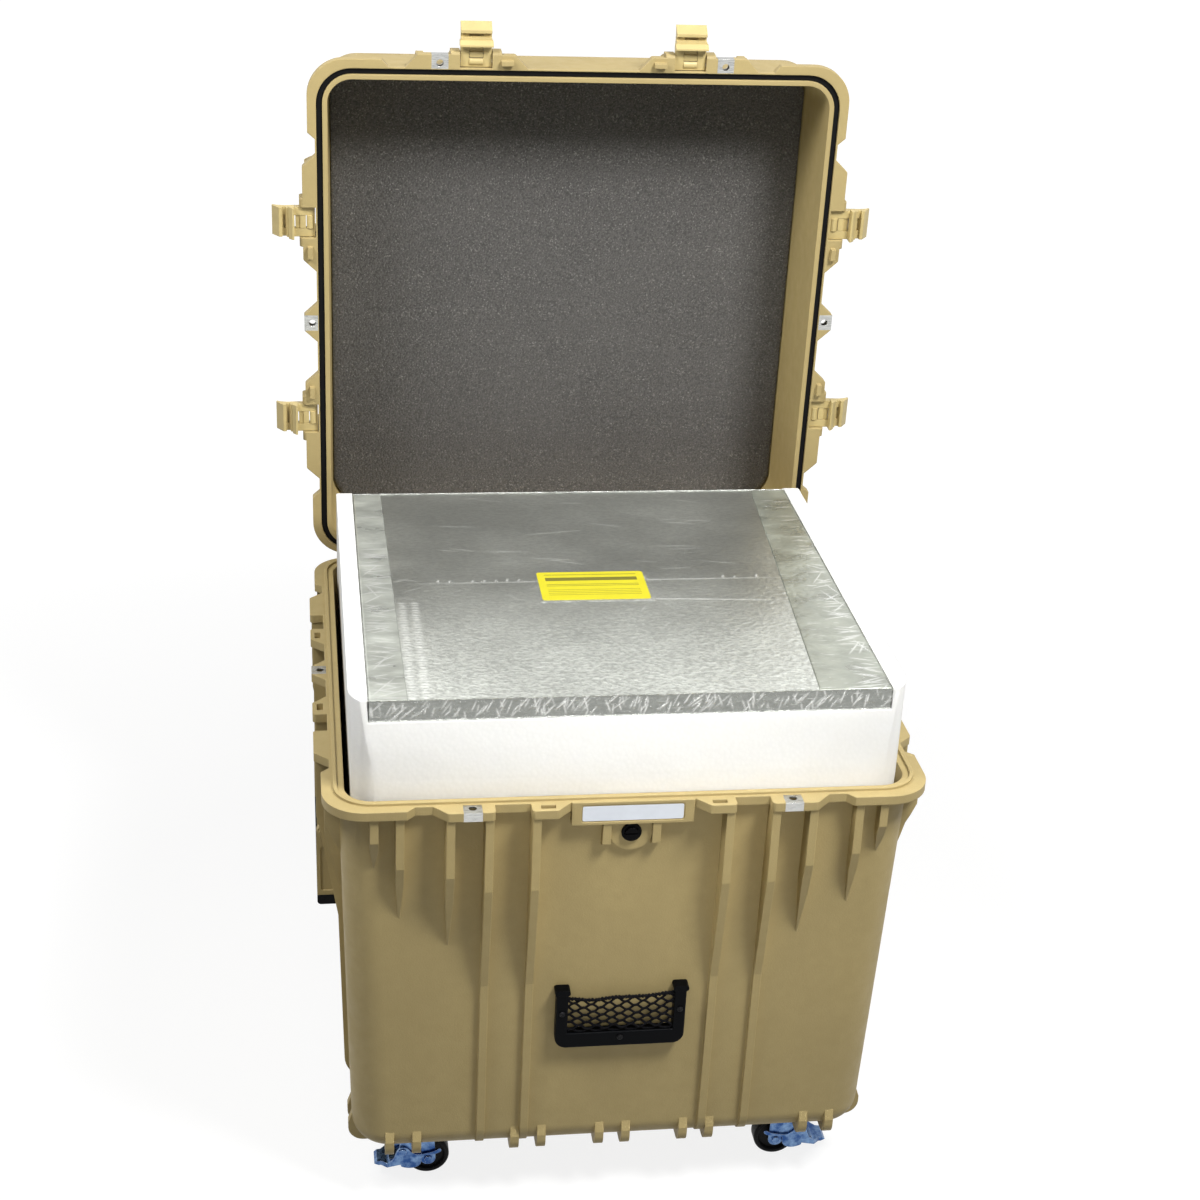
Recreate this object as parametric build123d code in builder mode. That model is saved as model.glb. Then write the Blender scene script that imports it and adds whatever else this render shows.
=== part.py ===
from build123d import *
from math import cos, radians, sin, tan
import os

# ---------------------------------------------------------------------------------------
# Specimen transport box: a moulded plastic cube case on four casters, its lid standing
# open on the back hinge, packed with a moulded foam liner, vacuum insulated panels and
# coolant packs round an empty payload space.
# Millimetres. +z is up, +y is the back, the origin is on the floor under the middle of
# the whole outline. Case pieces are placed from the middle of the base's rim
# (base_frame), lid pieces from the middle of the lid's rim (lid_frame), which is the
# same frame swung open about the hinge.
# ---------------------------------------------------------------------------------------

# ---- case shells ----
inside = 610.0                # clear width at the rim
wall = 6.5                    # side walls
base_depth = 475.0            # rim to underside, outside
base_floor = 6.0
lid_depth = 146.0             # rim to top, outside
lid_roof = 6.0
draft = 1.55                  # mould taper of every wall, degrees
corner = 36.0                 # upright corner radius at the rim, outside
corner_grows = 8.0            # and this much more at each closed end
base_edge = 30.0              # radius round the underside
lid_edge = 38.0               # radius round the top
parting_gap = 0.4             # between the two rims when shut
lid_open = 87.14              # degrees the lid stands open, against its stop
stack_half = 216.0            # half width over the raised border on the lid's top
stack_high = 2.0

# ---- rim flange ----
flange_out = 8.5              # flange beyond the wall, between the bosses
pad_out = 17.5                # corner pads beyond the wall
boss_out = 24.5               # bosses beyond the wall
back_out = 10.5               # flange beyond the wall along the hinge side
flange_thick = 10.5
flange_corner = 46.0
pad_start = 70.0              # corner pads start this far from the case's corner
boss_slope = 16.0             # a boss's sloping end, along the wall
boss_round = 4.0              # its outer corners

# ---- seal ----
tongue = 4.0                  # width of the base's sealing ridge
tongue_high = 3.2
tongue_out = 3.0              # the ridge's centre line beyond the wall
channel = 7.4                 # the lid's seal channel
channel_deep = 8.0
seal_gap = 0.5                # ridge to seal when shut
seal_round = 1.2

# ---- latches ----
latch_at = 129.0              # from the middle of a wall
latch_recess = 38.5
latch_pin_up = 8.0            # pin above the parting plane, lid shut
latch_pin_out = 15.5          # pin beyond the wall
latch_pin_radius = 2.5
latch_side_gap = 0.8
latch_reach = 46.0            # pin to the tip of the finger tab
hook_deep = 13.0              # hook's reach in under the flange from the pin line
hook_thick = 6.6
hook_extra = 1.4              # the hook bar is this much wider than the arms
latch_barrel = 5.2            # radius round the pin between the arms
trigger_width = 16.0
trigger_at = 11.0             # trigger's own pivot from the latch pin
trigger_up = 1.0              # and above the arm's middle line

# ---- padlock plates ----
padlock_at = 172.0            # front pair, from the middle
padlock_plate = 20.0
padlock_hole = 8.6
padlock_hole_out = 14.5       # hole centre beyond the wall
plate_gauge = 2.0
padlock_slot = 17.0           # depth of the slot that holds the plate

# ---- locating blocks ----
locator_at = 92.0
locator_long = 16.0
locator_wide = 7.0
locator_high = 6.0
locator_out = 16.0
locator_gap = 0.6
locator_edge = 2.0            # boss beyond the slot's end

# ---- ribs ----
rib = 9.0
rib_outer_beside = 5.75       # full height ribs: their middles beyond a latch recess, outward
rib_inner_beside = 5.75       # and inward
rib_shallow = 5.5
rib_knee = 100.0              # deep down to here below the rim
rib_foot = 238.0              # shallow from here down
gusset_a = 195.0              # short ribs under the flange and their lengths
gusset_a_straight = 81.0
gusset_a_down = 185.0
gusset_b = 248.0
gusset_b_straight = 73.0
gusset_b_down = 146.0
gusset_c = 275.0
gusset_c_straight = 40.0
gusset_c_down = 80.0
gusset_point = 2.0            # width at a short rib's lower end

# ---- hinge ----
hinge_out = 15.35             # axis beyond the back wall
hinge_down = 3.5              # axis below the parting plane
knuckle_radius = 8.0
hinge_pin = 8.0
hinge_at = 170.0
hinge_long = 150.0
knuckle_end = 40.0            # each base knuckle
knuckle_gap = 1.0
notch_gap = 1.6               # round the other half's knuckles
running_clearance = 0.05      # radial, pins in their bores

# ---- side handles ----
handle_pivot_down = 152.0     # pivot below the rim
handle_pivot_out = 10.5       # pivot beyond the wall's top
handle_span = 236.0           # over the arms
handle_arm = 10.0
handle_arm_wide = 24.0
handle_drop = 97.0            # pivot to the underside of the grip
grip_high = 13.0
grip_bar = 6.0
bracket = 14.0
bracket_gap = 0.5
handle_pin = 8.0
handle_boss = 9.5             # radius of the raised boss round each pivot
handle_boss_high = 2.0
grip_end = 2.5                # grip beyond the bar's ends

# ---- front fittings ----
name_panel_wide = 132.0
name_panel_high = 28.0
name_panel_out = 10.5
label_wide = 109.0
label_high = 18.0
label_thick = 0.6
label_corner = 2.0
label_recess = 0.8
valve_down = 41.0
valve_radius = 11.0
valve_boss = 23.5
valve_boss_high = 5.0
valve_stem = 8.7
valve_collar = 3.0
knob_radius = 7.6
knob_high = 4.0
knob_gap = 0.3
knob_sunk = 1.6               # knob's seat below the collar's face
knob_stub = 3.0
knob_stub_long = 4.0
stub_at = 27.0
pocket_wide = 147.0
pocket_high = 76.5
pocket_down = 285.75          # middle of the pocket below the rim
pocket_corner = 13.0
pocket_bar = 13.5
pocket_sill = 20.0
pocket_deep = 12.0
net_thick = 1.6
net_off = 8.0                 # net from the wall
net_drop = 6.0                # net's edge below the posts' tops
pocket_cap = 7.0
screw_radius = 1.5
screw_head = 1.8

# ---- casters ----
caster_height = 75.0          # floor to the case's underside
caster_in = 76.5              # swivel in from the underside's edge
caster_forward = 12.0         # the front pair nearer the front edge than that
caster_wheel = 50.8
caster_tread = 21.0
caster_trail = 12.0
caster_plate_long = 60.0
caster_plate_wide = 50.0
caster_gauge = 2.2
caster_axle = 7.0
leg_gap = 2.0                 # wheel to each leg
plate_thick = 2.5
race_radius = 20.0
crown_low = 61.0              # fork crown, heights from the floor
crown_top = 66.0
swivel_gap = 0.3
kingpin = 5.0
bolt_x = 24.0
bolt_y = 18.0
bolt_radius = 3.0
bolt_head = 3.5
hub_radius = 8.0
hub_out = 1.6                 # hub beyond the tread
axle_head = 3.0
axle_head_radius = 4.6
brake_out = 18.0              # pedal pivot from the swivel
brake_up = 38.0
brake_pin = 3.0
shoe_gap = 2.6                # brake shoe to the tread, released
pedal_reach = 51.0            # swivel to the pedal's tip
pad_half_wide = 11.0          # half the pad's width at its tip

# ---- feet ----
foot_high = 5.0               # below the underside
foot_wide = 10.0
foot_long = 13.0              # in under the case past the edge's radius
foot_up = 32.0                # up the wall from the underside
foot_pair = 15.5              # half the distance between a pair
foot_row = 98.5
foot_corner = 242.0

# ---- insulation ----
foam_gap = 1.5                # liner to the base's walls at the floor
collar_gap = 5.0              # liner to the rim's inside
collar_up = 20.0              # upright part of the collar above the rim
foam_floor = 25.0
foam_corner = 36.0
panel = 25.0                  # vacuum panels
panel_gap = 0.5
lid_panel_shift = -13.0       # the lid panel sits forward of the middle
collar_side = 20.0            # top of the collar's side walls
collar_lean = 6.0             # degrees the collar's front and back lean in
collar_round = 26.0           # back ends of the side walls
seat_gap = 0.3                # under a piece that lifts off
coolant = 25.0
coolant_gap = 0.5
pad_thick = 27.0              # foam pad in the lid
pad_side_gap = 0.5
pad_gap = 0.5                 # over the lid panel, lid shut
notice_wide = 126.0
notice_long = 76.0
notice_x = -9.0
notice_y = -20.0
notice_thick = 0.3

# ---- worked out ----
inner = inside / 2
outer = inner + wall
flange = outer + flange_out
boss = outer + boss_out
pad_edge = outer + pad_out
back_edge = outer + back_out
slope = tan(radians(draft))
inner_corner = corner - wall
hinge_y = outer + hinge_out
rim_z = base_depth + caster_height
latch_width = latch_recess - 2 * latch_side_gap
recess_half = latch_recess / 2
rib_outer = latch_at + recess_half + rib_outer_beside
rib_inner = latch_at - recess_half - rib_inner_beside
lid_pad_face = lid_depth - lid_roof - pad_thick
panel_top = lid_pad_face - pad_gap
panel_seat = panel_top - panel
cavity = inner - collar_gap - collar_side

# the outline runs from the front bosses to the open lid's top, and the origin is its middle
swing = radians(lid_open)
roof_turn = lid_depth - lid_edge      # height of the centre of the top edge's radius
back_reach = (
    hinge_y
    + lid_edge
    + (roof_turn + hinge_down) * sin(swing)
    - (hinge_y - (outer - roof_turn * slope - lid_edge / cos(radians(draft)))) * cos(swing)
)
case_y = (boss - back_reach) / 2

base_frame = Plane(origin=(0, case_y, rim_z), x_dir=(1, 0, 0), z_dir=(0, 0, 1))
hinge_point = base_frame.from_local_coords((0, hinge_y, -hinge_down))
open_frame = Plane(origin=hinge_point, x_dir=(1, 0, 0), z_dir=(0, sin(swing), cos(swing)))
lid_frame = open_frame.offset(hinge_down)
lid_frame = Plane(lid_frame.from_local_coords((0, -hinge_y, 0)), lid_frame.x_dir, lid_frame.z_dir)

FRONT, RIGHT, BACK, LEFT = 0, 90, 180, 270
LATCHED = (FRONT, RIGHT, LEFT)


def finish(piece, label):
    """Label a finished piece and write it."""
    piece.part.label = label
    os.makedirs("parts", exist_ok=True)
    export_step(piece.part, f"parts/{label}.step")


def around(turn, *points):
    """Points (along a wall, out from the middle) as the frame's x and y."""
    c, s = cos(radians(turn)), sin(radians(turn))
    return [(along * c + out * s, along * s - out * c) for along, out in points]


def turned(frame, turn):
    """The frame turned about its own z, so that its -y points out of another wall."""
    c, s = cos(radians(turn)), sin(radians(turn))
    return Plane(frame.origin, frame.x_dir * c + frame.y_dir * s, frame.z_dir)


def section(frame, turn, along):
    """An upright plane across a wall: its x points out of the case and its y up."""
    wall_frame = turned(frame, turn)
    origin = wall_frame.from_local_coords((along, 0, 0))
    return Plane(origin=origin, x_dir=-wall_frame.y_dir, z_dir=-wall_frame.x_dir)


def on_wall(turn, down):
    """The outer face of a base wall at a depth below the rim, its z pointing out."""
    wall_frame = turned(base_frame, turn)
    origin = wall_frame.from_local_coords((0, -wall_at(down), -down))
    lean = radians(draft)
    out = wall_frame.y_dir * -cos(lean) - wall_frame.z_dir * sin(lean)
    return Plane(origin=origin, x_dir=wall_frame.x_dir, z_dir=out)


def wall_at(down):
    """Half width over the walls at a depth from the rim."""
    return outer - down * slope


def box_ends(rim, half, rim_corner, deep, end_half, end_corner):
    """The two ends of a tapering box: its outline at a rim plane and at its closed end."""
    with BuildSketch(rim) as mouth:
        RectangleRounded(2 * half, 2 * half, rim_corner)
    with BuildSketch(rim.offset(deep)) as end:
        RectangleRounded(2 * end_half, 2 * end_half, end_corner)
    return [mouth.sketch, end.sketch]


def ring(half_out, half_in):
    """A rounded square ring in the sketch, its corners concentric with the case's."""
    RectangleRounded(2 * half_out, 2 * half_out, corner + half_out - outer)
    RectangleRounded(2 * half_in, 2 * half_in, corner + half_in - outer, mode=Mode.SUBTRACT)


def boss_outline(near, far, foot_near, foot_far):
    """Corners of one boss between two stations of a wall, with its sloping ends."""
    return (near - foot_near, flange - 1), (near, boss), (far, boss), (far + foot_far, flange - 1)


def flange_outline(plane):
    """Outline shared by both rims: corner pads, latch recesses and bosses."""
    with BuildSketch(plane) as outline:
        with Locations((0, (back_edge - pad_edge) / 2)):
            RectangleRounded(2 * pad_edge, pad_edge + back_edge, flange_corner)
        edge = outer - pad_start
        for turn in LATCHED:
            waist = [(-edge, pad_edge + 1), (-edge + 9, flange), (edge - 9, flange), (edge, pad_edge + 1)]
            Polygon(*around(turn, *waist), align=None, mode=Mode.SUBTRACT)
            for side in (-1, 1):
                tab = (locator_at - locator_long / 2 - locator_edge, latch_at - recess_half)
                stop = (latch_at + recess_half, padlock_at + padlock_plate / 2 + boss_slope)
                for points in (boss_outline(*tab, boss_slope, 0), boss_outline(*stop, 0, boss_slope)):
                    Polygon(*around(turn, *[(side * along, out) for along, out in points]), align=None)
        tips = [
            tip
            for tip in outline.vertices()
            if abs(max(abs(tip.X), -tip.Y) - boss) < 0.01
        ]
        fillet(tips, boss_round)
        half = padlock_plate / 2
        for turn in (RIGHT, LEFT):
            Polygon(*around(turn, *boss_outline(-half, half, boss_slope, boss_slope)), align=None)
    return outline.sketch


def padlock_places():
    """Wall and station of each padlock plate."""
    return [(FRONT, -padlock_at), (FRONT, padlock_at), (RIGHT, 0), (LEFT, 0)]


def knuckle_places(own):
    """Stations and lengths of one half's knuckles: the lid has the middle one of each hinge."""
    if own == "middle":
        return [(side * hinge_at, hinge_long - 2 * knuckle_end - 2 * knuckle_gap) for side in (-1, 1)]
    reach = (hinge_long - knuckle_end) / 2
    return [(side * hinge_at + end * reach, knuckle_end) for side in (-1, 1) for end in (-1, 1)]


def hinge_notches(frame, height, other):
    """Room for the other half's knuckles along the hinge side, cut from a flange."""
    with BuildSketch(frame) as notch:
        for at, long in knuckle_places(other):
            with Locations((at, hinge_y)):
                Rectangle(long + 2 * knuckle_gap, 2 * (knuckle_radius + notch_gap))
    extrude(notch.sketch, amount=height, mode=Mode.SUBTRACT)


def knuckles(frame, own, side):
    """Hinge knuckles of one half, each a barrel joined to its flange and bored for the pin."""
    barrels = []
    for at, long in knuckle_places(own):
        with BuildSketch(section(frame, BACK, -at - long / 2)) as barrel:
            with Locations((hinge_y, -hinge_down)):
                Circle(knuckle_radius)
            if side < 0:
                with Locations((outer, -hinge_down)):
                    Rectangle(hinge_out, knuckle_radius * 0.95, align=(Align.MIN, Align.MAX))
            else:
                with Locations((outer, parting_gap)):
                    Rectangle(hinge_out, knuckle_radius, align=(Align.MIN, Align.MIN))
        barrels.append((barrel.sketch, long))
    for barrel, long in barrels:
        extrude(barrel, amount=-long)
    with BuildSketch(section(frame, BACK, 0)) as bore:
        with Locations((hinge_y, -hinge_down)):
            Circle(hinge_pin / 2 + running_clearance)
    extrude(bore.sketch, amount=hinge_at + hinge_long / 2 + 1, both=True, mode=Mode.SUBTRACT)


def full_rib(turn, along, deep):
    """A full height rib: deep beside the latch, then a shallow bead down to the floor."""
    middle = base_edge - wall / 2
    centre = wall_at(base_depth) - base_edge
    low = base_depth - base_edge
    with BuildSketch(section(base_frame, turn, along)) as profile:
        Polygon(
            (wall_at(flange_thick) - wall / 2, -flange_thick),
            (deep, -flange_thick),
            (deep, -rib_knee),
            (wall_at(rib_foot) + rib_shallow, -rib_foot),
            (wall_at(base_depth) + rib_shallow, -base_depth),
            (centre, -base_depth),
            (centre, -low - middle),
            (centre + middle * sin(radians(45)), -low - middle * sin(radians(45))),
            (centre + middle, -low),
            align=None,
        )
        toe = profile.vertices().sort_by_distance((wall_at(base_depth) + rib_shallow, -base_depth))[0]
        fillet(toe, base_edge + rib_shallow - 1)
    return profile.sketch


def short_ribs(frame, turn, stations, sign):
    """Ribs under a flange (sign -1, on the base) or over it (sign 1, on the lid).

    Each is straight down to a knee, then tapers in depth and width to a point on the wall.
    """
    top = sign * flange_thick / 2
    with BuildPart() as teeth:
        for at, deep, straight, down in stations:
            for side in (-1, 1):
                with BuildSketch(section(frame, turn, side * at)):
                    Polygon(
                        (wall_at(down) - wall / 2, top),
                        (deep, top),
                        (deep, sign * straight),
                        (wall_at(down), sign * down),
                        (wall_at(down) - wall / 2, sign * down),
                        align=None,
                    )
        extrude(amount=rib / 2, both=True)
        wall_frame = turned(frame, turn)
        face_plane = Plane(wall_frame.origin, x_dir=wall_frame.x_dir, z_dir=-wall_frame.y_dir)
        with BuildSketch(face_plane):
            for at, deep, straight, down in stations:
                for x in (-at, at):
                    knee = sign * (straight + (down - straight) / 3)
                    Polygon(
                        (x - rib / 2, 0),
                        (x + rib / 2, 0),
                        (x + rib / 2, knee),
                        (x + gusset_point / 2, sign * down),
                        (x - gusset_point / 2, sign * down),
                        (x - rib / 2, knee),
                        align=None,
                    )
        extrude(amount=boss + 1, mode=Mode.INTERSECT)
    return teeth.part


caster_at = wall_at(base_depth) - caster_in
wheel_radius = caster_wheel / 2
leg_in = caster_tread / 2 + leg_gap
leg_out = leg_in + caster_gauge
arm_in = leg_out + 0.5
arm_out = arm_in + caster_gauge
CASTERS = {
    "front_left": (-caster_at, -caster_at - caster_forward, 1),
    "front_right": (caster_at, -caster_at - caster_forward, -1),
    "back_left": (-caster_at, caster_at, 1),
    "back_right": (caster_at, caster_at, -1),
}


def caster_level(x, y, z):
    """A level plane at a caster's swivel, at a height from the floor."""
    return Plane(origin=(x, case_y + y, z), x_dir=(1, 0, 0), z_dir=(0, 0, 1))


def caster_side(x, y, trail):
    """The upright plane through a caster's wheel: x along the trail and y up from the floor."""
    return Plane(origin=(x, case_y + y, 0), x_dir=(trail, 0, 0), z_dir=(0, -trail, 0))


bolt_places = [(sx * bolt_x, sy * bolt_y) for sx in (-1, 1) for sy in (-1, 1)]


# ---------------------------------------------------------------------------------------
# Base: drafted box with a flange, bosses, ribs, handle brackets, knuckles and feet
# ---------------------------------------------------------------------------------------
bracket_at = handle_span / 2 - handle_arm - bracket_gap - bracket / 2
pivot_out = outer + handle_pivot_out
panel_face = outer + name_panel_out
label_middle = base_frame.from_local_coords((0, -panel_face, -name_panel_high / 2))
label_plane = Plane(label_middle, x_dir=(1, 0, 0), z_dir=(0, -1, 0))
valve_plane = on_wall(FRONT, valve_down)
pocket_plane = on_wall(FRONT, pocket_down)
pocket_screw_places = (
    (-(pocket_wide - pocket_bar) / 2, 10),
    ((pocket_wide - pocket_bar) / 2, 10),
    (0, (pocket_sill - pocket_high) / 2 + 3),
)

base_ribs = []
for turn in (FRONT, RIGHT, BACK, LEFT):
    deep = boss - 2 if turn != BACK else back_edge - 2
    shallow = pad_edge - 3 if turn != BACK else back_edge - 2
    stations = (
        (gusset_a, deep, gusset_a_straight, gusset_a_down),
        (gusset_b, shallow, gusset_b_straight, gusset_b_down),
        (gusset_c, shallow, gusset_c_straight, gusset_c_down),
    )
    base_ribs.append(short_ribs(base_frame, turn, stations, -1))

with BuildPart() as base_hollow:
    deep = base_depth - base_floor
    loft(box_ends(base_frame, inner, inner_corner, -deep, inner - deep * slope, inner_corner + corner_grows))
    fillet(base_hollow.faces().sort_by(Axis.Z)[0].edges(), base_edge - wall)

with BuildPart() as base_shell:
    loft(box_ends(base_frame, outer, corner, -base_depth, wall_at(base_depth), corner + corner_grows))
    fillet(base_shell.faces().sort_by(Axis.Z)[0].edges(), base_edge)

    extrude(flange_outline(base_frame), amount=-flange_thick)

    # full height ribs beside the latches, and the short ribs
    ribs = []
    for turn in (FRONT, RIGHT, BACK, LEFT):
        deep = boss - 2 if turn != BACK else back_edge - 2
        stations = (rib_inner, rib_outer) if turn in (FRONT, BACK) else (rib_outer,)
        for at in stations:
            for side in (-1, 1):
                ribs += full_rib(turn, side * at, deep).faces()
    extrude(ribs, amount=rib / 2, both=True)
    add(base_ribs)

    # brackets that carry the side handles
    for turn in (RIGHT, LEFT):
        for side in (-1, 1):
            with BuildSketch(section(base_frame, turn, side * bracket_at)) as cheek:
                low = handle_pivot_down + 18
                Polygon(
                    (outer - wall / 2, -flange_thick),
                    (boss - 3, -flange_thick),
                    (boss - 3, -handle_pivot_down - 2),
                    (pivot_out + 1, -handle_pivot_down - 11),
                    (wall_at(low), -low),
                    (wall_at(low) - wall / 2, -low),
                    align=None,
                )
                outer_low = cheek.vertices().sort_by_distance((boss - 3, -handle_pivot_down - 2))[0]
                fillet(outer_low, 8)
    extrude(amount=bracket / 2, both=True)

    # name panel, the two stubs under it and the round boss of the purge valve
    with BuildSketch(section(base_frame, FRONT, 0)):
        Polygon(
            (outer - wall / 2, 0),
            (panel_face, 0),
            (panel_face, -name_panel_high),
            (wall_at(name_panel_high) - wall / 2, -name_panel_high),
            align=None,
        )
    extrude(amount=name_panel_wide / 2, both=True)
    for side in (-1, 1):
        with BuildSketch(section(base_frame, FRONT, side * stub_at)):
            Polygon(
                (wall_at(name_panel_high) - wall / 2, -name_panel_high),
                (panel_face - 1, -name_panel_high),
                (panel_face - 2, -name_panel_high - 26),
                (wall_at(name_panel_high + 32), -name_panel_high - 32),
                (wall_at(name_panel_high + 32) - wall / 2, -name_panel_high - 32),
                align=None,
            )
    extrude(amount=rib / 2, both=True)
    with BuildSketch(valve_plane):
        Circle(valve_boss)
    extrude(amount=valve_boss_high)

    # knuckles of the hinge, their ends carried by the flange
    knuckles(base_frame, "ends", -1)

    # feet in pairs, each a low rib round the edge of the underside
    for turn in (FRONT, RIGHT, BACK, LEFT):
        low = base_depth - foot_up
        tip = wall_at(base_depth) + foot_high
        inner_end = wall_at(base_depth) - base_edge + 6 - foot_long
        for at in (-foot_corner, -foot_row, 0, foot_row, foot_corner):
            for pair in (-foot_pair, foot_pair):
                with BuildSketch(section(base_frame, turn, at + pair)) as foot:
                    Polygon(
                        (wall_at(low) - wall / 2, -low),
                        (wall_at(low), -low),
                        (tip, -low - 12),
                        (tip, -base_depth - foot_high),
                        (inner_end + 3, -base_depth - foot_high),
                        (inner_end, -base_depth + 2),
                        align=None,
                    )
                    edge = foot.vertices().sort_by_distance((tip, -base_depth - foot_high))[0]
                    fillet(edge, foot_up - 14)
    extrude(amount=foot_wide / 2, both=True)

    # the hollow
    add(base_hollow.part, mode=Mode.SUBTRACT)

    # sealing ridge
    with BuildSketch(base_frame):
        ring(outer + tongue_out + tongue / 2, outer + tongue_out - tongue / 2)
    extrude(amount=tongue_high)

    # slots for the lid's locating blocks, and open slots behind the padlock plates
    for turn in LATCHED:
        with BuildSketch(turned(base_frame, turn)):
            with Locations((-locator_at, -(outer + locator_out)), (locator_at, -(outer + locator_out))):
                Rectangle(locator_long, locator_wide)
    extrude(amount=-locator_high - 2, mode=Mode.SUBTRACT)
    for turn, at in padlock_places():
        with BuildSketch(turned(base_frame, turn)):
            with Locations((at, -boss)):
                Rectangle(padlock_plate, 2 * padlock_slot)
    extrude(amount=-flange_thick, mode=Mode.SUBTRACT)

    # label recess, valve hole, handle pin bores and room for the lid's knuckles
    with BuildSketch(label_plane):
        RectangleRounded(label_wide + 3, label_high + 3, label_corner + 1.5)
    extrude(amount=-label_recess, mode=Mode.SUBTRACT)
    with BuildSketch(valve_plane):
        Circle(valve_stem + knob_gap)
    with BuildSketch(pocket_plane):
        with Locations(*pocket_screw_places):
            Circle(screw_radius + running_clearance)
    extrude(amount=2 * wall, both=True, mode=Mode.SUBTRACT)
    for x, y, trail in CASTERS.values():
        with BuildSketch(caster_level(x, y, caster_height)):
            with Locations(*bolt_places):
                Circle(bolt_radius + running_clearance)
    extrude(amount=base_floor, mode=Mode.SUBTRACT)
    for turn in (RIGHT, LEFT):
        with BuildSketch(section(base_frame, turn, 0)):
            with Locations((pivot_out, -handle_pivot_down)):
                Circle(handle_pin / 2 + running_clearance)
        extrude(amount=handle_span / 2, both=True, mode=Mode.SUBTRACT)
    hinge_notches(base_frame, -flange_thick, "middle")
finish(base_shell, "base_shell")


# ---------------------------------------------------------------------------------------
# Lid: shallower drafted box, its rim a mirror of the base's, with the seal channel
# ---------------------------------------------------------------------------------------
lid_rim = lid_frame.offset(parting_gap)
channel_top = parting_gap + channel_deep

lid_ribs = []
for turn in (FRONT, RIGHT, BACK, LEFT):
    deep = boss - 3 if turn != BACK else back_edge - 2
    stations = (
        (rib_inner, deep, 34, 92),
        (rib_outer, deep, 34, 92),
        (gusset_a, deep, 30, 70),
        (gusset_b, pad_edge - 9, 26, 56),
    )
    lid_ribs.append(short_ribs(lid_frame, turn, stations, 1))

with BuildPart() as lid_hollow:
    deep = lid_depth - lid_roof
    loft(box_ends(lid_frame, inner, inner_corner, deep, inner - deep * slope, inner_corner + corner_grows))
    fillet(lid_hollow.faces().sort_by(Axis(lid_frame.origin, lid_frame.z_dir))[-1].edges(), lid_edge - wall)

with BuildPart() as lid_shell:
    deep = lid_depth - parting_gap
    loft(box_ends(lid_rim, outer, corner, deep, outer - deep * slope, corner + corner_grows))
    fillet(lid_shell.faces().sort_by(Axis(lid_frame.origin, lid_frame.z_dir))[-1].edges(), lid_edge)
    extrude(flange_outline(lid_rim), amount=flange_thick)

    # ribs over the flange, and the lugs each side of a latch that hold its pin
    add(lid_ribs)
    latch_pin_z = parting_gap + latch_pin_up
    latch_pin_n = outer + latch_pin_out
    for turn in LATCHED:
        for side in (-1, 1):
            for edge_side in (-1, 1):
                at = side * latch_at + edge_side * (recess_half + 5.5)
                with BuildSketch(section(lid_frame, turn, at)) as lug:
                    Rectangle(20, flange_thick, align=(Align.MIN, Align.MIN), mode=Mode.PRIVATE)
                    Polygon(
                        (outer, parting_gap),
                        (boss + 4, parting_gap),
                        (boss + 4, parting_gap + 20),
                        (outer, parting_gap + 32),
                        align=None,
                    )
                    tips = lug.vertices().sort_by(Axis.X)[-2:]
                    fillet(tips, 5)
    extrude(amount=5.5, both=True)
    knuckles(lid_frame, "middle", 1)

    # the hollow and the seal channel
    add(lid_hollow.part, mode=Mode.SUBTRACT)
    with BuildSketch(lid_rim):
        ring(outer + tongue_out + channel / 2, outer + tongue_out - channel / 2)
    extrude(amount=channel_deep, mode=Mode.SUBTRACT)

    # room for the base's knuckles, latch pin bores, slots behind the padlock plates
    hinge_notches(lid_rim, flange_thick, "ends")
    for turn in LATCHED:
        for side in (-1, 1):
            with BuildSketch(section(lid_frame, turn, side * latch_at)):
                with Locations((latch_pin_n, latch_pin_z)):
                    Circle(latch_pin_radius + running_clearance)
    extrude(amount=recess_half + 8, both=True, mode=Mode.SUBTRACT)
    for turn, at in padlock_places():
        with BuildSketch(turned(lid_rim, turn)):
            with Locations((at, -boss)):
                Rectangle(padlock_plate, 2 * padlock_slot)
    extrude(amount=flange_thick, mode=Mode.SUBTRACT)

    # locating blocks that drop into the base's slots
    for turn in LATCHED:
        with BuildSketch(turned(lid_rim, turn)):
            with Locations((-locator_at, -(outer + locator_out)), (locator_at, -(outer + locator_out))):
                Rectangle(locator_long - 2 * locator_gap, locator_wide - 2 * locator_gap)
    extrude(amount=-locator_high)

    # raised border in the top, which keeps another box's feet in place
    with BuildSketch(lid_frame.offset(lid_depth)):
        RectangleRounded(2 * stack_half, 2 * stack_half, corner / 2)
        RectangleRounded(2 * (stack_half - rib), 2 * (stack_half - rib), corner / 2 - rib, mode=Mode.SUBTRACT)
    extrude(amount=stack_high)
finish(lid_shell, "lid_shell")

with BuildPart() as lid_gasket:
    with BuildSketch(lid_frame.offset(channel_top)):
        ring(outer + tongue_out + channel / 2, outer + tongue_out - channel / 2)
    extrude(amount=-(channel_top - tongue_high - seal_gap))
    lips = lid_gasket.faces().sort_by(Axis(lid_frame.origin, lid_frame.z_dir))[0].edges()
    fillet(lips, seal_round)
finish(lid_gasket, "lid_gasket")

# the pad fills the top of the hollow
with BuildPart() as lid_foam_pad:
    deep = lid_depth - lid_roof
    pad_half = inner - pad_side_gap
    pad_corner = inner_corner - pad_side_gap
    pad_edge_round = lid_edge - wall + 1
    loft(box_ends(lid_frame, pad_half, pad_corner, deep, pad_half - deep * slope, pad_corner + corner_grows))
    fillet(lid_foam_pad.faces().sort_by(Axis(lid_frame.origin, lid_frame.z_dir))[-1].edges(), pad_edge_round)
    split(bisect_by=lid_frame.offset(lid_pad_face), keep=Keep.TOP)
finish(lid_foam_pad, "lid_foam_pad")


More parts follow.
